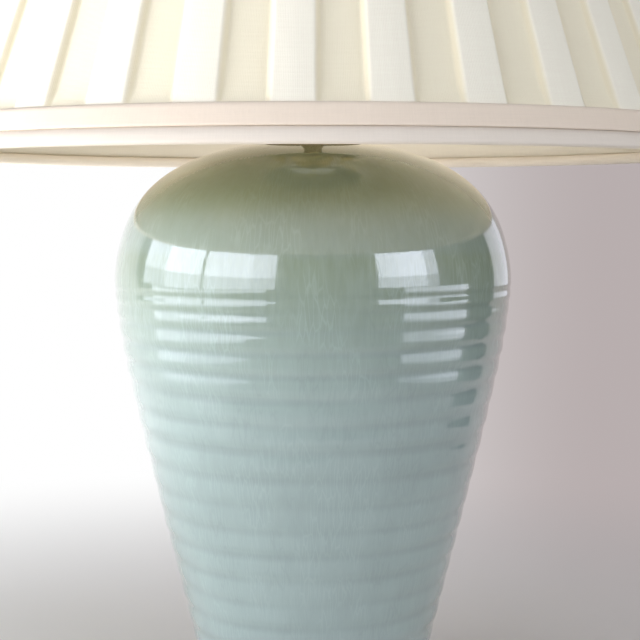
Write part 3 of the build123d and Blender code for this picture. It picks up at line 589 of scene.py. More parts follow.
# ---------------------------------------------------------------- jar
def mean_radius(z):
    """Jar without ribs. Above the belly r = R (1 - h^p)^(1/p), with h the share of the shoulder's
    rise, and below it r = R - k (sqrt(d^2 + b^2) - b), with d the drop and b the bend."""
    rise = np.clip((z - belly_z) / SHOULDER_RISE, 0, 1)
    drop = np.maximum(belly_z - z, 0)
    shoulder = JAR_RADIUS * (1 - rise**SHOULDER_POWER) ** (1 / SHOULDER_POWER)
    return shoulder - TAPER_RATIO * (np.hypot(drop, TAPER_BEND) - TAPER_BEND)


def shoulder_profile(inset, rows):
    """Superellipse r = R cos(t)^(2/p), z = belly + H sin(t)^(2/p), from the belly to the mouth."""
    reach, rise = JAR_RADIUS - inset, SHOULDER_RISE - inset
    last = np.arccos((MOUTH_RADIUS / reach) ** (SHOULDER_POWER / 2))
    t = np.linspace(0, last, rows)
    power = 2 / SHOULDER_POWER
    return np.stack([reach * np.cos(t) ** power, belly_z + rise * np.sin(t) ** power], axis=-1)


def rib_wave(z, angle, steepness):
    """Throwing ribs: steepness x pitch x cos(p + lean (1 - cos p)), where p is 2 pi times the count of
    crests down to this height. The lean makes their upper sides longer. Their phase and depth
    wander a little down and round the jar. From the first crest up to the dip the wall swells in
    a half wave, d cos(pi m), and above that it returns to the shoulder."""
    spare = int((RIB_CRESTS[-1] - foot_z) / RIB_PITCH) + 2
    below = [RIB_CRESTS[-1] - RIB_PITCH * (number + 1) for number in range(spare)]
    crests = np.array([*RIB_CRESTS, *below])
    count = np.arange(len(crests))
    waves = np.interp(-z, -crests, count)
    pitch = np.interp(waves, count[:-1] + 0.5, -np.diff(crests))
    calm = ramp(z, RIB_CALM_HIGH, RIB_CALM_LOW)
    grown = smooth(ramp(z, SWELL_DIP, RIB_CRESTS[2])) * (1 - (1 - RIB_CALM) * calm)
    wander = RIB_WANDER[0] * np.sin(angle + 0.6) + RIB_WANDER[1] * np.sin(2 * angle + 40 * z)
    patches = PATCH_SHARE * np.cos(PATCHES * (angle + PATCH_TURN) + 0.8 * np.sin(2.1 * waves))
    uneven = 1 + RIB_UNEVEN[0] * np.sin(1.7 * waves + 1.0) + RIB_UNEVEN[1] * np.sin(angle - 9 * z) + patches
    swell = SWELL_DEPTH * np.cos(pi * ramp(z, RIB_CRESTS[0], SWELL_DIP))
    swell *= (1 + np.cos(pi * ramp(z, SWELL_DIP, SWELL_TOP))) / 2
    swell *= smooth(1 - ramp(z, RIB_CRESTS[0], RIB_CRESTS[2]))
    phase = 2 * pi * (waves + wander)
    return steepness * pitch * uneven * grown * np.cos(phase + RIB_LEAN * (1 - np.cos(phase))) + swell


def jar_grid(settings):
    """The jar's closed profile, up the outside and down the inside, turned round Z with its ribs.
    Also gives how deep in a groove each point lies, from 0 to 1."""
    foot_radius = float(mean_radius(foot_z))
    recess_radius = foot_radius - FOOT_RING_WIDTH
    inner_floor = floor_z + FLOOR_THICKNESS
    taper_z = np.linspace(foot_z + 2 * FOOT_EDGE, belly_z, TAPER_ROWS)
    taper = np.stack([mean_radius(taper_z), taper_z], axis=-1)
    foot = eased([(recess_radius, floor_z), (recess_radius, foot_z), (foot_radius, foot_z), taper[0]],
                 FOOT_EDGE, 6)[:-1]
    outside = np.concatenate([taper, shoulder_profile(0, SHOULDER_ROWS)[1:]])
    wall_z = np.linspace(belly_z, inner_floor, INSIDE_WALL_ROWS)
    wall = np.stack([mean_radius(wall_z) - JAR_WALL, wall_z], axis=-1)
    inside = np.concatenate([shoulder_profile(JAR_WALL, INSIDE_SHOULDER_ROWS)[::-1], wall[1:]])
    lip = [outside[-1] + (-MOUTH_LIP, 0), inside[0] + (-MOUTH_LIP, 0)]
    bottom = np.array([(FLOOR_HOLE_RADIUS, inner_floor), (FLOOR_HOLE_RADIUS, floor_z)])
    profile = np.concatenate([foot, outside, lip, inside, bottom])
    angle = np.linspace(0, 2 * pi, JAR_COLUMNS, endpoint=False)
    z = profile[:, 1:2] + 0 * angle
    outer = np.zeros(len(profile), bool)
    outer[len(foot):len(foot) + TAPER_ROWS + SHOULDER_ROWS - 1] = True
    fade_foot = np.clip((z - foot_z - 2 * FOOT_EDGE) / RIB_FADE, 0, 1)
    ripple = np.where(outer[:, None], fade_foot * rib_wave(z, angle, settings.rib_steepness), 0)
    pooling = np.clip(-ripple / (settings.rib_steepness * RIB_PITCH), 0, 1)
    return turned(profile, JAR_COLUMNS, ripple), pooling


def make_jar(settings):
    """Ribbed jar with its glaze, and with the inlet and its seat cut through the foot."""
    points, pooling = jar_grid(settings)
    jar = build("glazed_jar", [points])
    attribute = jar.data.attributes.new("pooling", "FLOAT", "POINT")
    attribute.data.foreach_set("value", pooling.ravel())
    inlet_low, inlet_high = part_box("cord_grommet")
    inlet_z = (inlet_low[2] + inlet_high[2]) / 2
    far = inlet_high[1] + INLET_CUT_OUT
    hole = cylinder("inlet_hole", INLET_HOLE_RADIUS, inlet_low[1] - INLET_CUT_IN, far, inlet_z)
    seat = cylinder("inlet_seat", INLET_SEAT_RADIUS, inlet_high[1] - INLET_SEAT_DEPTH, far, inlet_z)
    cut(jar, [hole, seat])
    material = celadon_glaze(settings.thick_glaze, settings.thin_glaze_and_shade,
                             settings.crackle_size, settings.crackle_depth)
    place(jar, "root", material, "celadon_glaze", "jar_body")


def cylinder(name, radius, near, far, z, columns=48):
    """Closed cylinder along Y between two distances behind the axis."""
    profile = [(0, near), (radius, near), (radius, far), (0, far)]
    return build(name, [facing(turned(profile, columns), 1, z)], loop_rows=False)


# ---------------------------------------------------------------- turned fittings
def ring_profile(outer, inner, bottom, top, edge):
    """Closed profile of a ring with rounded edges."""
    return eased([(inner, bottom), (outer, bottom), (outer, top), (inner, top)], edge, 5, loop=True)


def hexagon_grid(bottom, top, flats, bore, columns=96):
    """Hexagon nut: its radius is the smaller of the flats' a / cos(b), with b the angle from the
    nearest flat's middle, and of a 30 degree chamfer at each face."""
    angle = np.linspace(0, 2 * pi, columns, endpoint=False) + pi / 6
    off_flat = (angle + pi / 6) % (pi / 3) - pi / 6
    reach = flats / 2 / np.cos(off_flat)
    drop = flats / 2 * (1 / cos(pi / 6) - HEX_CHAMFER) * tan(pi / 6)
    levels = np.array([bottom, bottom + drop, top - drop, top])
    chamfer = np.array([HEX_CHAMFER, 1.2, 1.2, HEX_CHAMFER]) * flats / 2
    radius = np.minimum(reach[None, :], chamfer[:, None])
    radius = np.concatenate([radius, np.full((2, columns), bore)])
    levels = np.concatenate([levels, [top, bottom]])
    z = levels[:, None] + 0 * radius
    return np.stack([radius * np.cos(angle), radius * np.sin(angle), z], axis=-1)


def threaded(z, angle, pitch):
    """Screw thread as a share of its depth: a triangle wave of z / pitch less the turn."""
    phase = (z / pitch - angle / (2 * pi)) % 1
    return np.abs(2 * phase - 1)


def make_foot_fittings():
    """Felt ring, rod, washers and nut under the jar's floor, and the inlet's bush."""
    felt_radius = half_width("base_felt")
    profile = ring_profile(felt_radius, felt_radius - FOOT_RING_WIDTH, 0, high("base_felt"), 0.0004)
    fit("felt_ring", [turned(profile, 128)], "root", "felt", "base_felt")

    rod_low, rod_high, rod = low("threaded_rod"), high("threaded_rod"), half_width("threaded_rod")
    bore = rod - ROD_WALL
    ends = np.linspace(0, ROD_THREAD, 79)
    levels = np.concatenate([rod_low + ends, rod_high - ends[::-1]])
    profile = [(bore, rod_low), *[(rod, z) for z in levels], (bore, rod_high)]
    angle = np.linspace(0, 2 * pi, 32, endpoint=False)
    near_end = np.minimum(levels - rod_low, rod_high - levels)
    grown = np.clip(np.minimum(near_end, ROD_THREAD - near_end) / THREAD_RUN_IN, 0, 1)
    thread = ROD_THREAD_DEPTH * grown[:, None] * threaded(levels[:, None], angle, THREAD_PITCH)
    grid = turned(profile, 32, -np.concatenate([np.zeros((1, 32)), thread, np.zeros((1, 32))]))
    fit("threaded_pipe", [grid], "root", "zinc_steel", "threaded_rod", sharp=25)

    washers = [("floor_washer", "bottom_washer", 0.0005), ("lock_washer", "bottom_lock_washer", 0.0003)]
    for name, node, edge in washers:
        profile = ring_profile(half_width(node), rod + SLIP, low(node), high(node), edge)
        fit(name, [turned(profile, 96)], "root", "zinc_steel", node)
    flats = float(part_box("bottom_nut")[1][1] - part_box("bottom_nut")[0][1])
    for name, node in (("rod_nut", "bottom_nut"), ("saddle_lock_nut", "saddle_nut")):
        grid = hexagon_grid(low(node), high(node), flats, rod + CLOSE_SLIP)
        fit(name, [grid], "root", "brass", node, sharp=25)

    inlet_low, inlet_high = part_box("cord_grommet")
    flange = half_width("cord_grommet")
    bush, hole = INLET_HOLE_RADIUS - SLIP, INLET_HOLE_RADIUS - BUSH_WALL
    corners = [(hole, inlet_low[1]), (bush, inlet_low[1]), (bush, inlet_high[1] - BUSH_WALL),
               (flange, inlet_high[1] - BUSH_WALL), (flange, inlet_high[1]), (hole, inlet_high[1])]
    profile = eased(corners, [0.0003, 0.0003, 0.0001, 0.0003, 0.0007, 0.0006], 5, loop=True)
    grid = facing(turned(profile, 48), 1, (inlet_low[2] + inlet_high[2]) / 2)
    fit("inlet_bush", [grid], "root", "black_rubber", "cord_grommet")


def make_neck_fittings():
    """Spun cap, check ring and turned neck between the jar and the saddle."""
    bottom, top, rim = low("vase_cap"), high("vase_cap"), half_width("vase_cap")
    stack = half_width("threaded_rod") + SLIP
    outer = [(rim, bottom), (rim, bottom + CAP_SKIRT), (rim - CAP_SKIRT, top - CAP_CROWN),
             (rim - CAP_FLAT, top), (stack, top)]
    inner = [(stack, top - CAP_WALL), (rim - CAP_FLAT, top - CAP_WALL),
             (rim - 0.0062, top - CAP_CROWN - CAP_WALL), (rim - CAP_WALL, bottom + 0.0056),
             (rim - CAP_WALL, bottom)]
    bends = [0.0003, 0.0030, 0.0060, 0.0060, 0.0002, 0.0002, 0.0060, 0.0050, 0.0020, 0.0003]
    profile = eased(outer + inner, bends, 8, loop=True)
    fit("spun_cap", [turned(profile, 128)], "root", "antique_brass", "vase_cap")

    bottom, top, ring = low("check_ring"), high("check_ring"), half_width("check_ring")
    corners = [(stack, bottom), (ring - 0.0012, bottom), (ring, bottom + 0.0011), (ring, top - 0.0011),
               (ring - 0.0012, top), (stack, top)]
    profile = eased(corners, 0.0011, 6, loop=True)
    fit("turned_check_ring", [turned(profile, 96)], "root", "antique_brass", "check_ring")

    bottom, top, end = low("neck_spindle"), high("neck_spindle"), half_width("neck_spindle")
    middle, reach = (bottom + top) / 2, (top - bottom) / 2 - NECK_BEAD
    z = np.linspace(middle - reach, middle + reach, 40)
    waist = NECK_WAIST + (end - NECK_STEP - NECK_WAIST) * ((z - middle) / reach) ** 2
    lower = eased([(stack, bottom), (end, bottom), (end, bottom + NECK_BEAD - NECK_STEP),
                   (end - NECK_STEP, bottom + NECK_BEAD)], 0.0010, 6)
    upper = np.stack([lower[::-1, 0], top + bottom - lower[::-1, 1]], axis=-1)
    profile = np.concatenate([lower[:-1], np.stack([waist, z], axis=-1), upper[1:]])
    fit("turned_neck", [turned(profile, 96)], "root", "antique_brass", "neck_spindle")
    dress(hard("antique_brass"), "harp_saddle")


def make_socket():
    """Socket cup and shell of thin brass, the fluted turn knob, and what is inside them."""
    bottom, top, reach = low("socket_cap"), high("socket_cap"), half_width("socket_cap")
    hub = half_width("threaded_rod") + CLOSE_SLIP
    wall, shoulder = CUP_WALL, bottom + CUP_FLARE
    outer = [(hub + 2 * wall, bottom), (reach, shoulder), (reach, top - 0.0018),
             (reach + 0.0004, top - 0.0009), (reach, top)]
    inner = [(reach - wall, top), (reach - wall, shoulder + wall / 2), (hub + 2 * wall, bottom + 2 * wall),
             (hub + 2 * wall, bottom + 0.005), (hub, bottom + 0.005), (hub, bottom)]
    bends = [0.001, 0.005, 0.001, 0.0008, 0.0003, 0.0003, 0.004, 0.001, 0.0003, 0.0003, 0.0003]
    profile = eased(outer + inner, bends, 6, loop=True)
    fit("socket_cup", [turned(profile, 96)], "root", "brass", "socket_cap")

    bottom, top, reach = low("socket_shell"), high("socket_shell"), half_width("socket_shell")
    bead = top - SHELL_BEAD_DROP
    outer = [(reach, bottom), (reach, bead - 2 * SHELL_BEAD), (reach + SHELL_BEAD, bead),
             (reach, bead + 2 * SHELL_BEAD), (reach, top)]
    inner = [(r - SHELL_WALL, z) for r, z in outer[::-1]]
    profile = eased(outer + inner, 0.0010, 5, loop=True)
    shell = build("socket_sleeve", [turned(profile, 96)])
    stem_low, stem_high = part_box("switch_stem")
    switch_z = (stem_low[2] + stem_high[2]) / 2
    cut(shell, [cylinder("stem_hole", half_width("switch_stem") + SLIP, stem_low[1], 0, switch_z)])
    place(shell, "root", hard("brass"), "brass", "socket_shell")

    knob_low, knob_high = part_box("switch_knob")
    knob = half_width("switch_knob")
    length, skirt = knob_high[1] - knob_low[1], KNOB_SKIRT
    corners = [(0, 0), (knob, 0), (knob, skirt), (knob - 0.0005, skirt + 0.0005),
               (knob - 0.0009, length), (0, length)]
    profile = eased(corners, [0, 0.0005, 0.0005, 0.0005, 0.0016, 0], 6)
    angle = np.linspace(0, 2 * pi, 144, endpoint=False)
    grip = np.clip((profile[:, 1:2] - skirt) / 0.0008, 0, 1) * np.clip(profile[:, :1] / knob, 0, 1) ** 4
    flutes = -KNOB_FLUTE_DEPTH * grip * (0.5 + 0.5 * np.cos(KNOB_FLUTES * angle)) ** 2
    grid = facing(turned(profile, 144, flutes), -1, switch_z)
    grid[..., 1] += knob_high[1]
    fit("turn_knob", [grid], "switch", "knob_plastic", "switch_knob", loop_rows=False)

    dress(hard("brass"), "switch_stem", "terminal_screws", "socket_contact")
    dress(hard("fish_paper"), "socket_liner")
    dress(hard("phenolic"), "socket_interior")
    dress(hard("aluminium_shell"), "socket_screw_shell")


def make_bulb():
    """Clear bulb with a rolled screw base."""
    bottom, top, reach = low("bulb_screw_base"), high("bulb_screw_base"), half_width("bulb_screw_base")
    wall, rows, columns = BASE_WALL, 100, 72
    z = np.linspace(bottom + 0.0016, top - 0.0004, rows)
    outside = np.stack([np.full(rows, reach - 0.0001), z], axis=-1)
    start = np.array([(0, bottom), (reach - 0.003, bottom), (reach - 0.0014, bottom + 0.0006)])
    inside = np.array([(reach - wall, top), (reach - wall - 0.0012, top),
                       (reach - wall - 0.0012, bottom + 0.0024), (0, bottom + 0.0024)])
    profile = np.concatenate([start, outside, inside])
    angle = np.linspace(0, 2 * pi, columns, endpoint=False)
    turns = 0.5 + 0.5 * np.cos(2 * pi * (z[:, None] / BULB_PITCH - angle / (2 * pi)))
    grown = np.clip(np.minimum(z - z[0], z[-1] - 0.003 - z) / THREAD_RUN_IN, 0, 1)[:, None]
    ripple = np.zeros((len(profile), columns))
    ripple[len(start):len(start) + rows] = -BULB_THREAD_DEPTH * grown * turns
    fit("screw_base", [turned(profile, columns, ripple)], "bulb", "aluminium_shell", "bulb_screw_base",
        loop_rows=False)

    glass_low, glass_top, globe = low("bulb_glass"), high("bulb_glass"), half_width("bulb_glass")
    neck = reach - wall - SLIP
    globe_z = glass_top - globe

    def side(inset):
        """Neck to globe: a cubic in z that starts upright and meets the globe's slope, and a sphere."""
        neck_r, globe_r = neck - inset, globe - inset
        cheek_z, cheek_r = globe_z - globe_r * sin(BULB_CHEEK), globe_r * cos(BULB_CHEEK)
        h = np.linspace(0, 1, 28)
        span = cheek_z - top
        rise = neck_r * (1 - 3 * h**2 + 2 * h**3) + cheek_r * (3 * h**2 - 2 * h**3)
        swell = rise + tan(BULB_CHEEK) * span * (h**3 - h**2)
        turn = np.linspace(-BULB_CHEEK, pi / 2, 44)[1:]
        radius = np.concatenate([swell, globe_r * np.cos(turn)])
        radius[-1] = 0
        return np.stack([radius, np.concatenate([top + span * h, globe_z + globe_r * np.sin(turn)])], axis=-1)

    outer = np.concatenate([[(neck, glass_low)], side(0)])
    inner = np.concatenate([side(GLASS_WALL)[::-1], [(neck - GLASS_WALL, glass_low)]])
    grids = [turned(outer, 96), turned(inner, 96)]
    foot = turned([inner[-1], outer[0]], 96)
    glass = build("bulb_envelope", [*grids, foot], loop_rows=False)
    place(glass, "bulb", clear_glass("bulb_envelope"), "bulb_envelope", "bulb_glass")
    dress(hard("filament_metal"), "bulb_filament")
    dress(hard("solder"), "bulb_contact")


def make_harp():
    """Wire bow with its eye, and the two sleeves that lock its legs."""
    foot = low("harp_bow")
    half = half_width("harp_bow") - HARP_WIRE
    eye_high = high("harp_bow")
    crown = eye_high - HARP_EYE_HEIGHT / 2
    knee = foot + HARP_KNEE
    flare = knee + HARP_FLARE
    right = [(HARP_LEG_X, foot), (HARP_LEG_X, knee), (half, flare), (half, crown)]
    corners = [(x, 0, z) for x, z in right] + [(-x, 0, z) for x, z in right[::-1]]
    bends = [0, HARP_FLARE_RADIUS, HARP_FLARE_RADIUS, HARP_CROWN_RADIUS]
    path = eased(corners, bends + bends[::-1], 16)
    eye = ring_profile(HARP_EYE_RADIUS, HARP_EYE_BORE, crown - HARP_EYE_HEIGHT / 2, eye_high, 0.0005)
    fit("harp_wire", [tube(path, HARP_WIRE, 20)], "root", "brass", "harp_bow", loop_rows=False)
    fit("harp_eye", [turned(eye, 64)], "root", "brass")

    for side, body in ((-1, "sleeve_left"), (1, "sleeve_right")):
        node = "harp_" + body
        bottom, top, reach = low(node), high(node), half_width(node)
        inner, collar = reach - SLEEVE_WALL, HARP_WIRE + SLEEVE_SLIP
        corners = [(inner, bottom), (reach, bottom), (reach, top), (collar, top),
                   (collar, top - SLEEVE_COLLAR), (inner, top - SLEEVE_COLLAR)]
        profile = eased(corners, [0.0002, 0.0004, 0.0012, 0.0002, 0.0002, 0.0004], 6, loop=True)
        grid = turned(profile, 64)
        grid[..., 0] += side * HARP_LEG_X
        fit(node.replace("harp_", "locking_"), [grid], body, "brass", node)


def make_finial():
    """Turned finial, its insert, and the stud under it."""
    bottom, top, ball = low("finial_knob"), high("finial_knob"), half_width("finial_knob")
    foot, waist, tip = FINIAL_FOOT, FINIAL_WAIST, ball / 4
    ball_z = top - 1.55 * ball
    meet = np.arcsin(waist / ball)
    turn = np.linspace(-pi / 2 + meet, pi / 2 - np.arcsin(tip / ball), 40)
    globe = np.stack([ball * np.cos(turn), ball_z + ball * np.sin(turn)], axis=-1)
    stem = eased([(FINIAL_BORE, bottom), (foot, bottom), (foot, bottom + 0.003), (waist, bottom + 0.0046),
                  (waist, bottom + 0.0075), (waist + 0.0011, bottom + 0.0088), (waist, bottom + 0.0101),
                  globe[0]],
                 [0, 0.0008, 0.0010, 0.0006, 0.0006, 0.0009, 0.0006, 0], 6)
    button = eased([globe[-1], (tip, top - 0.0022), (tip + 0.0005, top - 0.0013), (tip, top), (0, top)],
                   [0, 0.0006, 0.0008, 0.0012, 0], 6)
    bore_top = high("finial_insert") + 0.00005
    bore = np.array([(0, bore_top), (FINIAL_BORE, bore_top), (FINIAL_BORE, bottom)])
    profile = np.concatenate([stem[:-1], globe, button[1:]])
    fit("turned_finial", [turned(profile, 96), turned(bore, 96)], "finial", "antique_brass", "finial_knob",
        loop_rows=False)
    dress(hard("brass"), "finial_insert", "swivel_stud")


# ---------------------------------------------------------------- shade
def shade_radius(z):
    """Outermost radius of the shade's trim at a height."""
    return SHADE_BOTTOM_RADIUS - shade_lean * (z - shade_low)


def make_shade_frame():
    """Enamelled rings, struts, and spider with its washer."""
    inset = BINDING_THICKNESS + LAYER_GAP + RING_WIRE
    levels = {"shade_top_ring": shade_high - inset, "shade_bottom_ring": shade_low + inset}
    majors = {node: shade_radius(z) - wire_offset for node, z in levels.items()}
    turn = np.linspace(0, 2 * pi, 16, endpoint=False)
    for node, z in levels.items():
        profile = np.stack([majors[node] + RING_WIRE * np.cos(turn), z + RING_WIRE * np.sin(turn)], axis=-1)
        fit(node.replace("shade", "wire"), [turned(profile, 192)], "shade", "frame_enamel", node)

    share = np.linspace(0, 1, 12)[:, None]
    start = np.array([majors["shade_bottom_ring"], 0, levels["shade_bottom_ring"] + 0.001])
    end = np.array([majors["shade_top_ring"], 0, levels["shade_top_ring"] - 0.001])
    strut = tube(start * (1 - share) + end * share, STRUT_WIRE, 12)
    struts = [spun(strut, 2 * pi * (number + 0.5) / STRUTS) for number in range(STRUTS)]
    fit("wire_struts", struts, "shade", "frame_enamel", "shade_struts", loop_rows=False)

    bottom, top, reach = low("spider_washer"), high("spider_washer"), half_width("spider_washer")
    middle = (bottom + top) / 2
    grid = turned(ring_profile(reach, SPIDER_BORE, bottom, top, 0.0004), 96)
    fit("spider_plate", [grid], "shade", "frame_enamel", "spider_washer")
    ring = (majors["shade_top_ring"], levels["shade_top_ring"])
    corners = [(reach - 0.0006, 0, middle), (ring[0] - SPIDER_BEND, 0, middle),
               (ring[0] - 0.0022, 0, ring[1] - 0.0013)]
    arm = tube(eased(corners, 4 * SPIDER_WIRE, 12), SPIDER_WIRE, 16)
    arms = [spun(arm, pi / 2 + 2 * pi * number / SPIDER_ARMS) for number in range(SPIDER_ARMS)]
    fit("spider_wires", arms, "shade", "frame_enamel", "spider_arms", loop_rows=False)


def pleat_depth_at(share):
    """Depth of the cover behind its fronts, from 0 at a front to 1 in a recess, by share of a
    pleat's period from the front's middle. The folds between them are smooth."""
    off = np.abs((share + 0.5) % 1 - 0.5)
    return smooth(np.clip((off - PLEAT_FRONT / 2) / PLEAT_FOLD, 0, 1))


def make_cover(settings):
    """Box-pleated cover: radius = (front - depth x pleat) x narrowing, with the cloth a little
    crowned between its folds."""
    bottom, top = shade_low + cover_front, shade_high - cover_front
    front = shade_radius(bottom) - cover_front
    narrowing = (shade_radius(top) - cover_front) / front
    half = np.interp(np.linspace(0, 1, 13)[:-1], [0, 0.18, 0.82, 1], [-0.5, -0.305, -0.185, 0])
    one = np.concatenate([half, -half[1:][::-1]])
    one = np.insert(one, len(half), 0.0)
    pleats = settings.pleat_count
    share = (np.arange(pleats)[:, None] + one[None, :]).ravel()
    angle = share * 2 * pi / pleats
    share_up = np.linspace(0, 1, 36)[:, None]
    level = share_up - 0.10 * np.sin(2 * pi * share_up)
    depth = pleat_depth_at(share)
    own = np.sin(12.9898 * np.floor(share + 0.5) + 4.0)
    crown = PLEAT_CROWN * np.cos(pi * np.clip(((share + 0.5) % 1 - 0.5) / PLEAT_FRONT, -0.5, 0.5)) ** 2
    slack = PLEAT_SLACK * np.sin(pi * level) * depth * (1 + 0.5 * own)
    from_rim = np.minimum(level, 1 - level) * (top - bottom)
    rim = np.clip((from_rim - PRESSED_HEIGHT) / PRESSED_EASE, 0, 1)
    pressed = PRESSED_SHARE + (1 - PRESSED_SHARE) * smooth(rim)
    radius = (front - PLEAT_CROWN - PLEAT_DEPTH * pressed * depth * (1 + 0.04 * own) + crown) - slack
    radius = radius * (1 - level * (1 - narrowing))
    bend = angle + PLEAT_TURN + 0.0012 * np.sin(pi * level) * own
    z = bottom + level * (top - bottom) + 0 * radius
    grid = np.stack([radius * np.cos(bend), radius * np.sin(bend), z], axis=-1)
    cover = build("pleated_cloth", [grid], loop_rows=False, sharp=80)
    # Painted shade: how far the cloth turns to the darker yellow colour, most on the folds and less in the
    # recesses.
    fold_shade_share = np.broadcast_to(0.45 * depth + 1.3 * depth * (1 - depth), grid.shape[:2])
    cover.data.attributes.new("fold_shade_share", "FLOAT", "POINT").data.foreach_set("value", fold_shade_share.ravel())
    thicken(cover, CLOTH)
    around = float(lengths(grid[:1], 1, True)[-1])
    material = woven_cloth("cream_cloth", settings.cover_colour, 0.0006, 0.8, creases=0.00025,
                           fold_shade=settings.fold_shade_colour)
    place(cover, "shade", material, "cream_cloth", "pleated_cover")


def trim_strip(name, corners, edge, upward, radius, thickness, columns=256):
    """A tape laid round a rim: a path of (inward offset, rise) corners, rounded, followed round
    the shade's cone and given its thickness."""
    path = eased(corners, radius, 7)
    if upward > 0:
        path = path[::-1]
    z = edge + upward * path[:, 1]
    profile = np.stack([shade_radius(z) - path[:, 0], z], axis=-1)
    grid = turned(profile, columns)
    piece = build(name, [grid], loop_rows=False, sharp=80)
    thicken(piece, thickness)
    float(lengths(grid, 0, False)[-1])
    return piece


def make_trims(settings):
    """Rolled bindings over both rims, and the flat bands next to them."""
    material = woven_cloth("binding_cloth", settings.binding_colour, 0.0005, 0.6, creases=0.00015)
    outline = [(0.0004, BINDING_HEIGHT), (0, BINDING_HEIGHT / 2), (0, 0), (rim_width, 0),
               (rim_width, BINDING_TURN_IN)]
    bends = [0, 0.004, 0.003, 0.003, 0]
    for edge, upward, node in ((shade_low, 1, "lower_binding"), (shade_high, -1, "upper_binding")):
        strip = trim_strip("rolled_" + node, outline, edge, upward, bends, BINDING_THICKNESS)
        place(strip, "shade", material, "trim_cloth", node)
    material = woven_cloth("trim_cloth", settings.trim_colour, 0.0005, 0.6, creases=0.00015)
    near = BINDING_HEIGHT - 0.0003
    far = near + BAND_HEIGHT
    offset = BINDING_THICKNESS - BAND_THICKNESS
    outline = [(offset + 0.0004, near), (offset, near + 0.0008), (offset, far - 0.0014), (offset + 0.0011, far)]
    for edge, upward, node in ((shade_low, 1, "lower_band"), (shade_high, -1, "upper_band")):
        strip = trim_strip("folded_" + node, outline, edge, upward, 0.0015, BAND_THICKNESS * 0.9)
        place(strip, "shade", material, "trim_cloth", node)


def make_lining(settings):
    """Smooth lining stretched inside the frame."""
    bottom, top = shade_low + cover_front, shade_high - cover_front
    level = np.linspace(bottom, top, 24)
    profile = np.stack([shade_radius(level) - lining_outer, level], axis=-1)
    grid = turned(profile, 256)
    lining = build("stretched_lining", [grid], loop_rows=False)
    thicken(lining, CLOTH)
    slant = float(lengths(grid, 0, False)[-1])
    material = woven_cloth("lining_cloth", settings.lining_colour, 0.0004, 0.4)
    place(lining, "shade", material, "lining_cloth", "shade_lining")


# ---------------------------------------------------------------- stage
def backdrop_material(settings):
    """Pale floor that takes shadows, passing into a wall whose colour is shown without shading. Wall and
    floor both go from white at the left to grey at the right: painted light and painted shade.
    """
    finish = Finish("backdrop", Roughness=1.0, Specular_IOR_Level=0.0)
    parts = finish.add("ShaderNodeSeparateXYZ", Vector=finish.coordinates.outputs["Object"]).outputs
    # Painted light and shade: the wall goes from white at the left to grey at the right.
    fan = finish.math("DIVIDE", parts[0], finish.math("ADD", parts[1], 0.85))
    wall = finish.mix(finish.between(fan, -0.13, 0.20), (*settings.lit_wall_left, 1), (*settings.shaded_wall_right, 1))
    path = finish.add("ShaderNodeLightPath").outputs
    seen = finish.math("MAXIMUM", path["Is Camera Ray"], finish.math(
        "MAXIMUM", path["Is Glossy Ray"], path["Is Transmission Ray"]))
    away = finish.add("ShaderNodeVectorMath", {"operation": "LENGTH"},
                      in_0=finish.coordinates.outputs["Object"])
    behind = finish.between(parts[1], -0.2, 0.3)
    far = finish.math("MULTIPLY", behind, finish.between(away.outputs["Value"], 0.16, 0.75))
    glow = finish.add("ShaderNodeEmission", Color=wall, Strength=1.0)
    # Painted light and shade: the floor goes from its lit colour at the left to its shaded colour at the right.
    finish.wear(Base_Color=finish.mix(finish.between(parts[0], -0.6, 0.6), (*settings.lit_floor_left, 1),
                                      (*settings.shaded_floor_right, 1)))
    blend = finish.add("ShaderNodeMixShader", in_0=finish.math("MULTIPLY", seen, far),
                       in_1=finish.shader.outputs[0], in_2=glow.outputs[0])
    output = next(n for n in finish.tree.nodes if n.type == "OUTPUT_MATERIAL")
    finish.tree.links.new(blend.outputs[0], output.inputs["Surface"])
    return finish.material


def panel(name, size, radiance, location, turn, colour=(1, 1, 1)):
    """Rectangle of light that shows a radiance, and is hidden from the camera."""
    light = bpy.data.lights.new(name, "AREA")
    light.shape, light.size, light.size_y = "RECTANGLE", *size
    light.energy = radiance * pi * light.size * light.size_y
    light.color = colour
    lamp = bpy.data.objects.new(name, light)
    lamp.location, lamp.rotation_euler = location, turn
    lamp.visible_camera = False
    bpy.context.scene.collection.objects.link(lamp)
    return lamp


def window(name, azimuth_from, azimuth_to, distance, bottom, top, radiance, colour):
    """Upright panel between two azimuths, counted from the front and negative to the left."""
    middle = radians((azimuth_from + azimuth_to) / 2)
    half = radians(abs(azimuth_to - azimuth_from) / 2)
    location = (distance * sin(middle), -distance * cos(middle), (bottom + top) / 2)
    size = (2 * distance * tan(half), top - bottom)
    return panel(name, size, radiance, location, (pi / 2, 0, middle), colour)


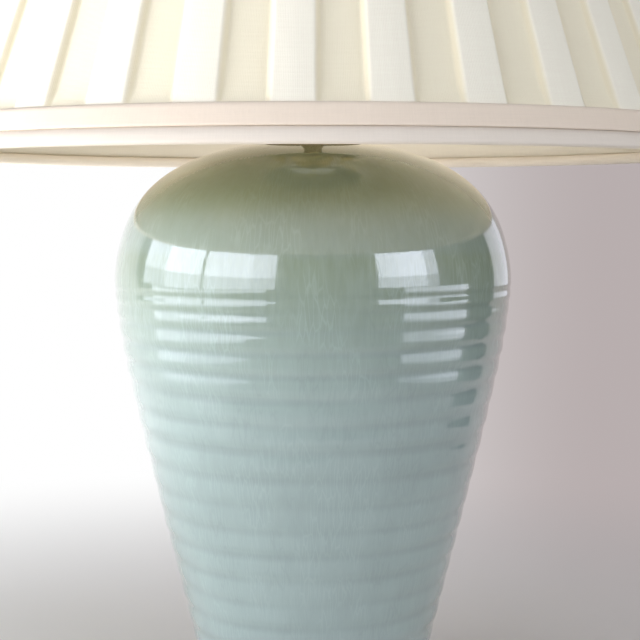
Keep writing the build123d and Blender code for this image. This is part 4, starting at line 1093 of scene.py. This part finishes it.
def room_world(settings):
    """Dim room light. The camera sees a pale background past the table, and so does glass, except
    towards the ceiling."""
    world = bpy.data.worlds.new("room")
    world.use_nodes = True
    tree = world.node_tree

    def math(operation, *values):
        made = tree.nodes.new("ShaderNodeMath")
        made.operation = operation
        for socket, value in zip(made.inputs, values):
            if isinstance(value, bpy.types.NodeSocket):
                tree.links.new(value, socket)
            else:
                socket.default_value = value
        return made.outputs[0]

    room, pale = tree.nodes["Background"], tree.nodes.new("ShaderNodeBackground")
    room.inputs["Color"].default_value = (*settings.room_colour, 1)
    room.inputs["Strength"].default_value = settings.room_strength
    pale.inputs["Color"].default_value = (*settings.backdrop_colour, 1)
    path = tree.nodes.new("ShaderNodeLightPath").outputs
    parts = tree.nodes.new("ShaderNodeSeparateXYZ")
    tree.links.new(tree.nodes.new("ShaderNodeTexCoord").outputs["Generated"], parts.inputs[0])
    through = math("MULTIPLY", path["Is Transmission Ray"], math("LESS_THAN", parts.outputs[2], 0.6))
    blend = tree.nodes.new("ShaderNodeMixShader")
    for socket, value in zip(blend.inputs, (math("MAXIMUM", path["Is Camera Ray"], through),
                                            room.outputs[0], pale.outputs[0])):
        tree.links.new(value, socket)
    tree.links.new(blend.outputs[0], tree.nodes["World Output"].inputs["Surface"])
    return world


def flag_grid():
    """Upright dark cloth at the right, which keeps the floor there out of the glaze."""
    turn = np.radians([90.0, 97.0, 104.0, 111.0, 116.0])
    height = np.array([0.0, FLAG_HEIGHT / 2, FLAG_HEIGHT])[:, None] + 0 * turn
    x, y = FLAG_DISTANCE * np.sin(turn), -FLAG_DISTANCE * np.cos(turn)
    return np.stack([x + 0 * height, y + 0 * height, height], axis=-1)


def make_stage(settings):
    """Floor and wall, dark flag, windows, low cards, fills, room light and camera."""
    scene = bpy.context.scene
    scene.view_settings.view_transform = "Standard"

    corners = [(TABLE_FRONT, TABLE_EDGE_DROP), (TABLE_FRONT, -FLOOR_GAP), (WALL_DISTANCE, -FLOOR_GAP),
               (WALL_DISTANCE, WALL_TOP)]
    rows = eased(corners, [0, 0.01, WALL_BEND, 0], 16)
    x = np.array([HALF_ROOM, -HALF_ROOM])
    grid = np.stack([x[None, :] + 0 * rows[:, :1], rows[:, :1] + 0 * x, rows[:, 1:] + 0 * x], axis=-1)
    floor = build("floor_and_wall", [grid], loop_rows=False, loop_columns=False, sharp=60)
    floor.data.materials.append(backdrop_material(settings))
    flag = build("dark_flag", [flag_grid()], loop_rows=False, loop_columns=False)
    flag.data.materials.append(Finish("flag_cloth", Roughness=1.0, Specular_IOR_Level=0.0,
                                      Base_Color=(0.02, 0.022, 0.02, 1)).material)
    flag.visible_camera = flag.visible_diffuse = flag.visible_shadow = flag.visible_transmission = False

    for name, panes, radiance in (("left_window", LEFT_PANES, settings.window_left),
                                  ("right_window", RIGHT_PANES, settings.window_right)):
        for start, end, share in panes:
            for bottom, top, level in PANE_BANDS:
                window(name, start, end, WINDOW_DISTANCE, bottom, top, level * share * radiance,
                       settings.daylight)
    for bottom, top, level, left_end in CARD_BANDS:
        share = level * settings.card_share
        for name, start, end, radiance in (("left_card", -97, left_end, settings.window_left),
                                           ("right_card", 49, 92, settings.window_right)):
            card = window(name, start, end, CARD_DISTANCE, bottom, top, share * radiance, settings.daylight)
            card.visible_diffuse = False
    window("side_wall", 117, 150, SIDE_WALL_DISTANCE, 0.0, 1.3, settings.side_wall, settings.daylight)
    glow = panel("floor_glow", (1.2, 2.2), settings.floor_glow, (-1.05, 0, 0.01), (pi, 0, 0))
    ceiling = panel("ceiling", (2.4, 2.4), settings.ceiling, (0, 0, 2.6), (0, 0, 0))
    bounce = panel("floor_bounce", (0.40, 0.40), settings.floor_bounce, (-0.028, 0, 0.306), (pi, 0, 0))
    glow.visible_glossy = ceiling.visible_glossy = bounce.visible_glossy = False
    bounce.data.shape, bounce.visible_transmission = "DISK", False
    for degrees, share in FILLS:
        fill = bpy.data.lights.new("shade_fill", "POINT")
        fill.energy, fill.color, fill.shadow_soft_size = share * settings.shade_fill, FILL_COLOUR, 0.03
        lamp = bpy.data.objects.new("shade_fill", fill)
        lamp.location = (FILL_RADIUS * cos(radians(degrees)), FILL_RADIUS * sin(radians(degrees)), FILL_HEIGHT)
        lamp.visible_camera = lamp.visible_glossy = lamp.visible_transmission = False
        scene.collection.objects.link(lamp)

    scene.world = room_world(settings)

    camera = bpy.data.cameras.new("camera")
    camera.lens, camera.sensor_width = CAMERA_LENS, CAMERA_SENSOR
    viewer = bpy.data.objects.new("camera", camera)
    viewer.location, viewer.rotation_euler = CAMERA_PLACE, (CAMERA_TILT, 0, 0)
    scene.collection.objects.link(viewer)
    scene.camera = viewer


# ---------------------------------------------------------------- settings
def colour_property(name, description, default):
    return FloatVectorProperty(name=name, description=description, default=default, subtype="COLOR",
                               size=3, min=0.0, max=1.0)


def level_property(name, description, default):
    return FloatProperty(name=name, description=description, default=default, min=0.0, subtype="UNSIGNED")


def share_property(name, description, default, largest=1.0):
    return FloatProperty(name=name, description=description, default=default, min=0.0, max=largest,
                         subtype="FACTOR")


class JarSettings(PropertyGroup):
    """Glaze and ribs of the jar"""
    thick_glaze: colour_property("Thick glaze", "Colour of the glaze down the jar", (0.343, 0.423, 0.390))
    # Thin glaze: darker and olive, with painted shade under the lampshade and a painted reflection of its cream
    # lining.
    thin_glaze_and_shade: colour_property("Thin glaze", "Colour of the glaze on the shoulder", (0.193, 0.230, 0.132))
    rib_steepness: share_property(
        "Rib steepness", "Depth of a rib either side of the wall, as a share of the pitch there", 0.033, 0.1)
    crackle_size: FloatProperty(name="Crackle size", description="Width of a cell of the crackle",
                                default=0.0024, min=0.001, max=0.02, unit="LENGTH")
    crackle_depth: share_property(
        "Crackle strength", "How strongly the crackle's light and dark lines show", 0.10)


class ShadeSettings(PropertyGroup):
    """Pleats and cloths of the shade"""
    pleat_count: IntProperty(name="Pleats", description="Box pleats round the shade",
                             default=32, min=8, max=64, subtype="UNSIGNED")
    cover_colour: colour_property("Cover", "Colour of the pleated cloth", (1.0, 0.92, 0.745))
    trim_colour: colour_property("Bands", "Colour of the flat bands", (0.90, 0.750, 0.590))
    binding_colour: colour_property("Bindings", "Colour of the rolled bindings", (0.87, 0.765, 0.635))
    # Painted shade, warm and yellow, deep between the pleats.
    fold_shade_colour: colour_property("Folds", "Colour of the cover deep between its pleats", (0.86, 0.74, 0.47))
    lining_colour: colour_property("Lining", "Colour of the lining", (0.78, 0.70, 0.57))


class StageSettings(PropertyGroup):
    """Floor, wall and light round the lamp"""
    # The floor's and wall's colours at the left and right are painted light and painted shade.
    lit_floor_left: colour_property("Floor, left", "Colour of the floor at the left", (0.92, 0.89, 0.83))
    shaded_floor_right: colour_property("Floor, right", "Colour of the floor at the right", (0.67, 0.62, 0.60))
    lit_wall_left: colour_property("Wall, left", "Colour of the wall at the left", (1.0, 1.0, 1.0))
    shaded_wall_right: colour_property("Wall, right", "Colour of the wall at the right", (0.48, 0.425, 0.425))
    daylight: colour_property("Daylight", "Colour of the windows' light", (0.80, 0.85, 1.0))
    backdrop_colour: colour_property("Backdrop", "Colour past the table's edge", (0.76, 0.745, 0.75))
    room_colour: colour_property("Room", "Colour of the room's own light", (0.95, 0.97, 0.93))
    room_strength: level_property("Room light", "Level of the room's own light", 0.19)
    window_left: level_property("Left window", "Brightness of the left window", 7.2)
    window_right: level_property("Right window", "Brightness of the right window", 7.2)
    card_share: share_property("Cards", "Brightness of the low white cards against the windows", 0.43)
    floor_glow: level_property("Floor glow", "Brightness of the sunlit floor at the left", 6.2)
    side_wall: level_property("Side wall", "Brightness of the wall behind at the right", 0.70)
    ceiling: level_property("Ceiling", "Brightness of the panel above the lamp", 0.45)
    floor_bounce: level_property("Floor bounce", "Brightness of the floor's light into the shade", 0.31)
    shade_fill: FloatProperty(
        name="Light in the shade", description="Power of each light that stands for daylight through the cloth",
        default=0.025, min=0.0, unit="POWER")


# ---------------------------------------------------------------- operators
class LampPiece:
    """What the lamp's operators share: they act on the scene and can be undone."""
    bl_options = {"REGISTER", "UNDO"}


class LAMP_OT_stage(LampPiece, Operator):
    """Make the floor, wall, windows, room light and camera"""
    bl_idname = "lamp.stage"
    bl_label = "Stage"

    def execute(self, context):
        make_stage(context.scene.lamp_stage)
        return {"FINISHED"}


class LAMP_OT_jar(LampPiece, Operator):
    """Make the ribbed jar with its celadon glaze"""
    bl_idname = "lamp.jar"
    bl_label = "Jar"

    def execute(self, context):
        make_jar(context.scene.lamp_jar)
        return {"FINISHED"}


class LAMP_OT_foot_fittings(LampPiece, Operator):
    """Make the felt, rod, washers, nuts and inlet bush"""
    bl_idname = "lamp.foot_fittings"
    bl_label = "Foot Fittings"

    def execute(self, context):
        make_foot_fittings()
        return {"FINISHED"}


class LAMP_OT_neck_fittings(LampPiece, Operator):
    """Make the spun cap, check ring and neck"""
    bl_idname = "lamp.neck_fittings"
    bl_label = "Neck Fittings"

    def execute(self, context):
        make_neck_fittings()
        return {"FINISHED"}


class LAMP_OT_socket(LampPiece, Operator):
    """Make the socket and its turn switch"""
    bl_idname = "lamp.socket"
    bl_label = "Socket"

    def execute(self, context):
        make_socket()
        return {"FINISHED"}


class LAMP_OT_bulb(LampPiece, Operator):
    """Make the bulb"""
    bl_idname = "lamp.bulb"
    bl_label = "Bulb"

    def execute(self, context):
        make_bulb()
        return {"FINISHED"}


class LAMP_OT_harp(LampPiece, Operator):
    """Make the harp and its sleeves"""
    bl_idname = "lamp.harp"
    bl_label = "Harp"

    def execute(self, context):
        make_harp()
        return {"FINISHED"}


class LAMP_OT_finial(LampPiece, Operator):
    """Make the finial"""
    bl_idname = "lamp.finial"
    bl_label = "Finial"

    def execute(self, context):
        make_finial()
        return {"FINISHED"}


class LAMP_OT_shade_frame(LampPiece, Operator):
    """Make the shade's rings, struts and spider"""
    bl_idname = "lamp.shade_frame"
    bl_label = "Shade Frame"

    def execute(self, context):
        make_shade_frame()
        return {"FINISHED"}


class LAMP_OT_shade_cloth(LampPiece, Operator):
    """Make the pleated cover, lining, bands and bindings"""
    bl_idname = "lamp.shade_cloth"
    bl_label = "Shade Cloth"

    def execute(self, context):
        settings = context.scene.lamp_shade
        make_cover(settings)
        make_lining(settings)
        make_trims(settings)
        return {"FINISHED"}


OPERATORS = (LAMP_OT_stage, LAMP_OT_jar, LAMP_OT_foot_fittings, LAMP_OT_neck_fittings, LAMP_OT_socket,
             LAMP_OT_bulb, LAMP_OT_harp, LAMP_OT_finial, LAMP_OT_shade_frame, LAMP_OT_shade_cloth)


class LAMP_PT_sidebar(Panel):
    """The lamp's settings and pieces"""
    bl_idname = "LAMP_PT_sidebar"
    bl_label = "Ginger Jar Lamp"
    bl_space_type = "VIEW_3D"
    bl_region_type = "UI"
    bl_category = "Jar Lamp"

    def draw(self, context):
        for group in ("lamp_jar", "lamp_shade", "lamp_stage"):
            settings = getattr(context.scene, group)
            box = self.layout.box()
            for key in settings.__annotations__:
                box.prop(settings, key)
        for operator in OPERATORS:
            self.layout.operator(operator.bl_idname)


SETTINGS = {"lamp_jar": JarSettings, "lamp_shade": ShadeSettings, "lamp_stage": StageSettings}


def register():
    for group in SETTINGS.values():
        bpy.utils.register_class(group)
    for name, group in SETTINGS.items():
        setattr(bpy.types.Scene, name, PointerProperty(type=group))
    for operator in OPERATORS:
        bpy.utils.register_class(operator)
    bpy.utils.register_class(LAMP_PT_sidebar)


def unregister():
    bpy.utils.unregister_class(LAMP_PT_sidebar)
    for operator in reversed(OPERATORS):
        bpy.utils.unregister_class(operator)
    for name, group in SETTINGS.items():
        delattr(bpy.types.Scene, name)
        bpy.utils.unregister_class(group)


def main():
    register()
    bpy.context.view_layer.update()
    for operator in OPERATORS:
        family, verb = operator.bl_idname.split(".")
        getattr(getattr(bpy.ops, family), verb)()


if __name__ == "__main__":
    main()
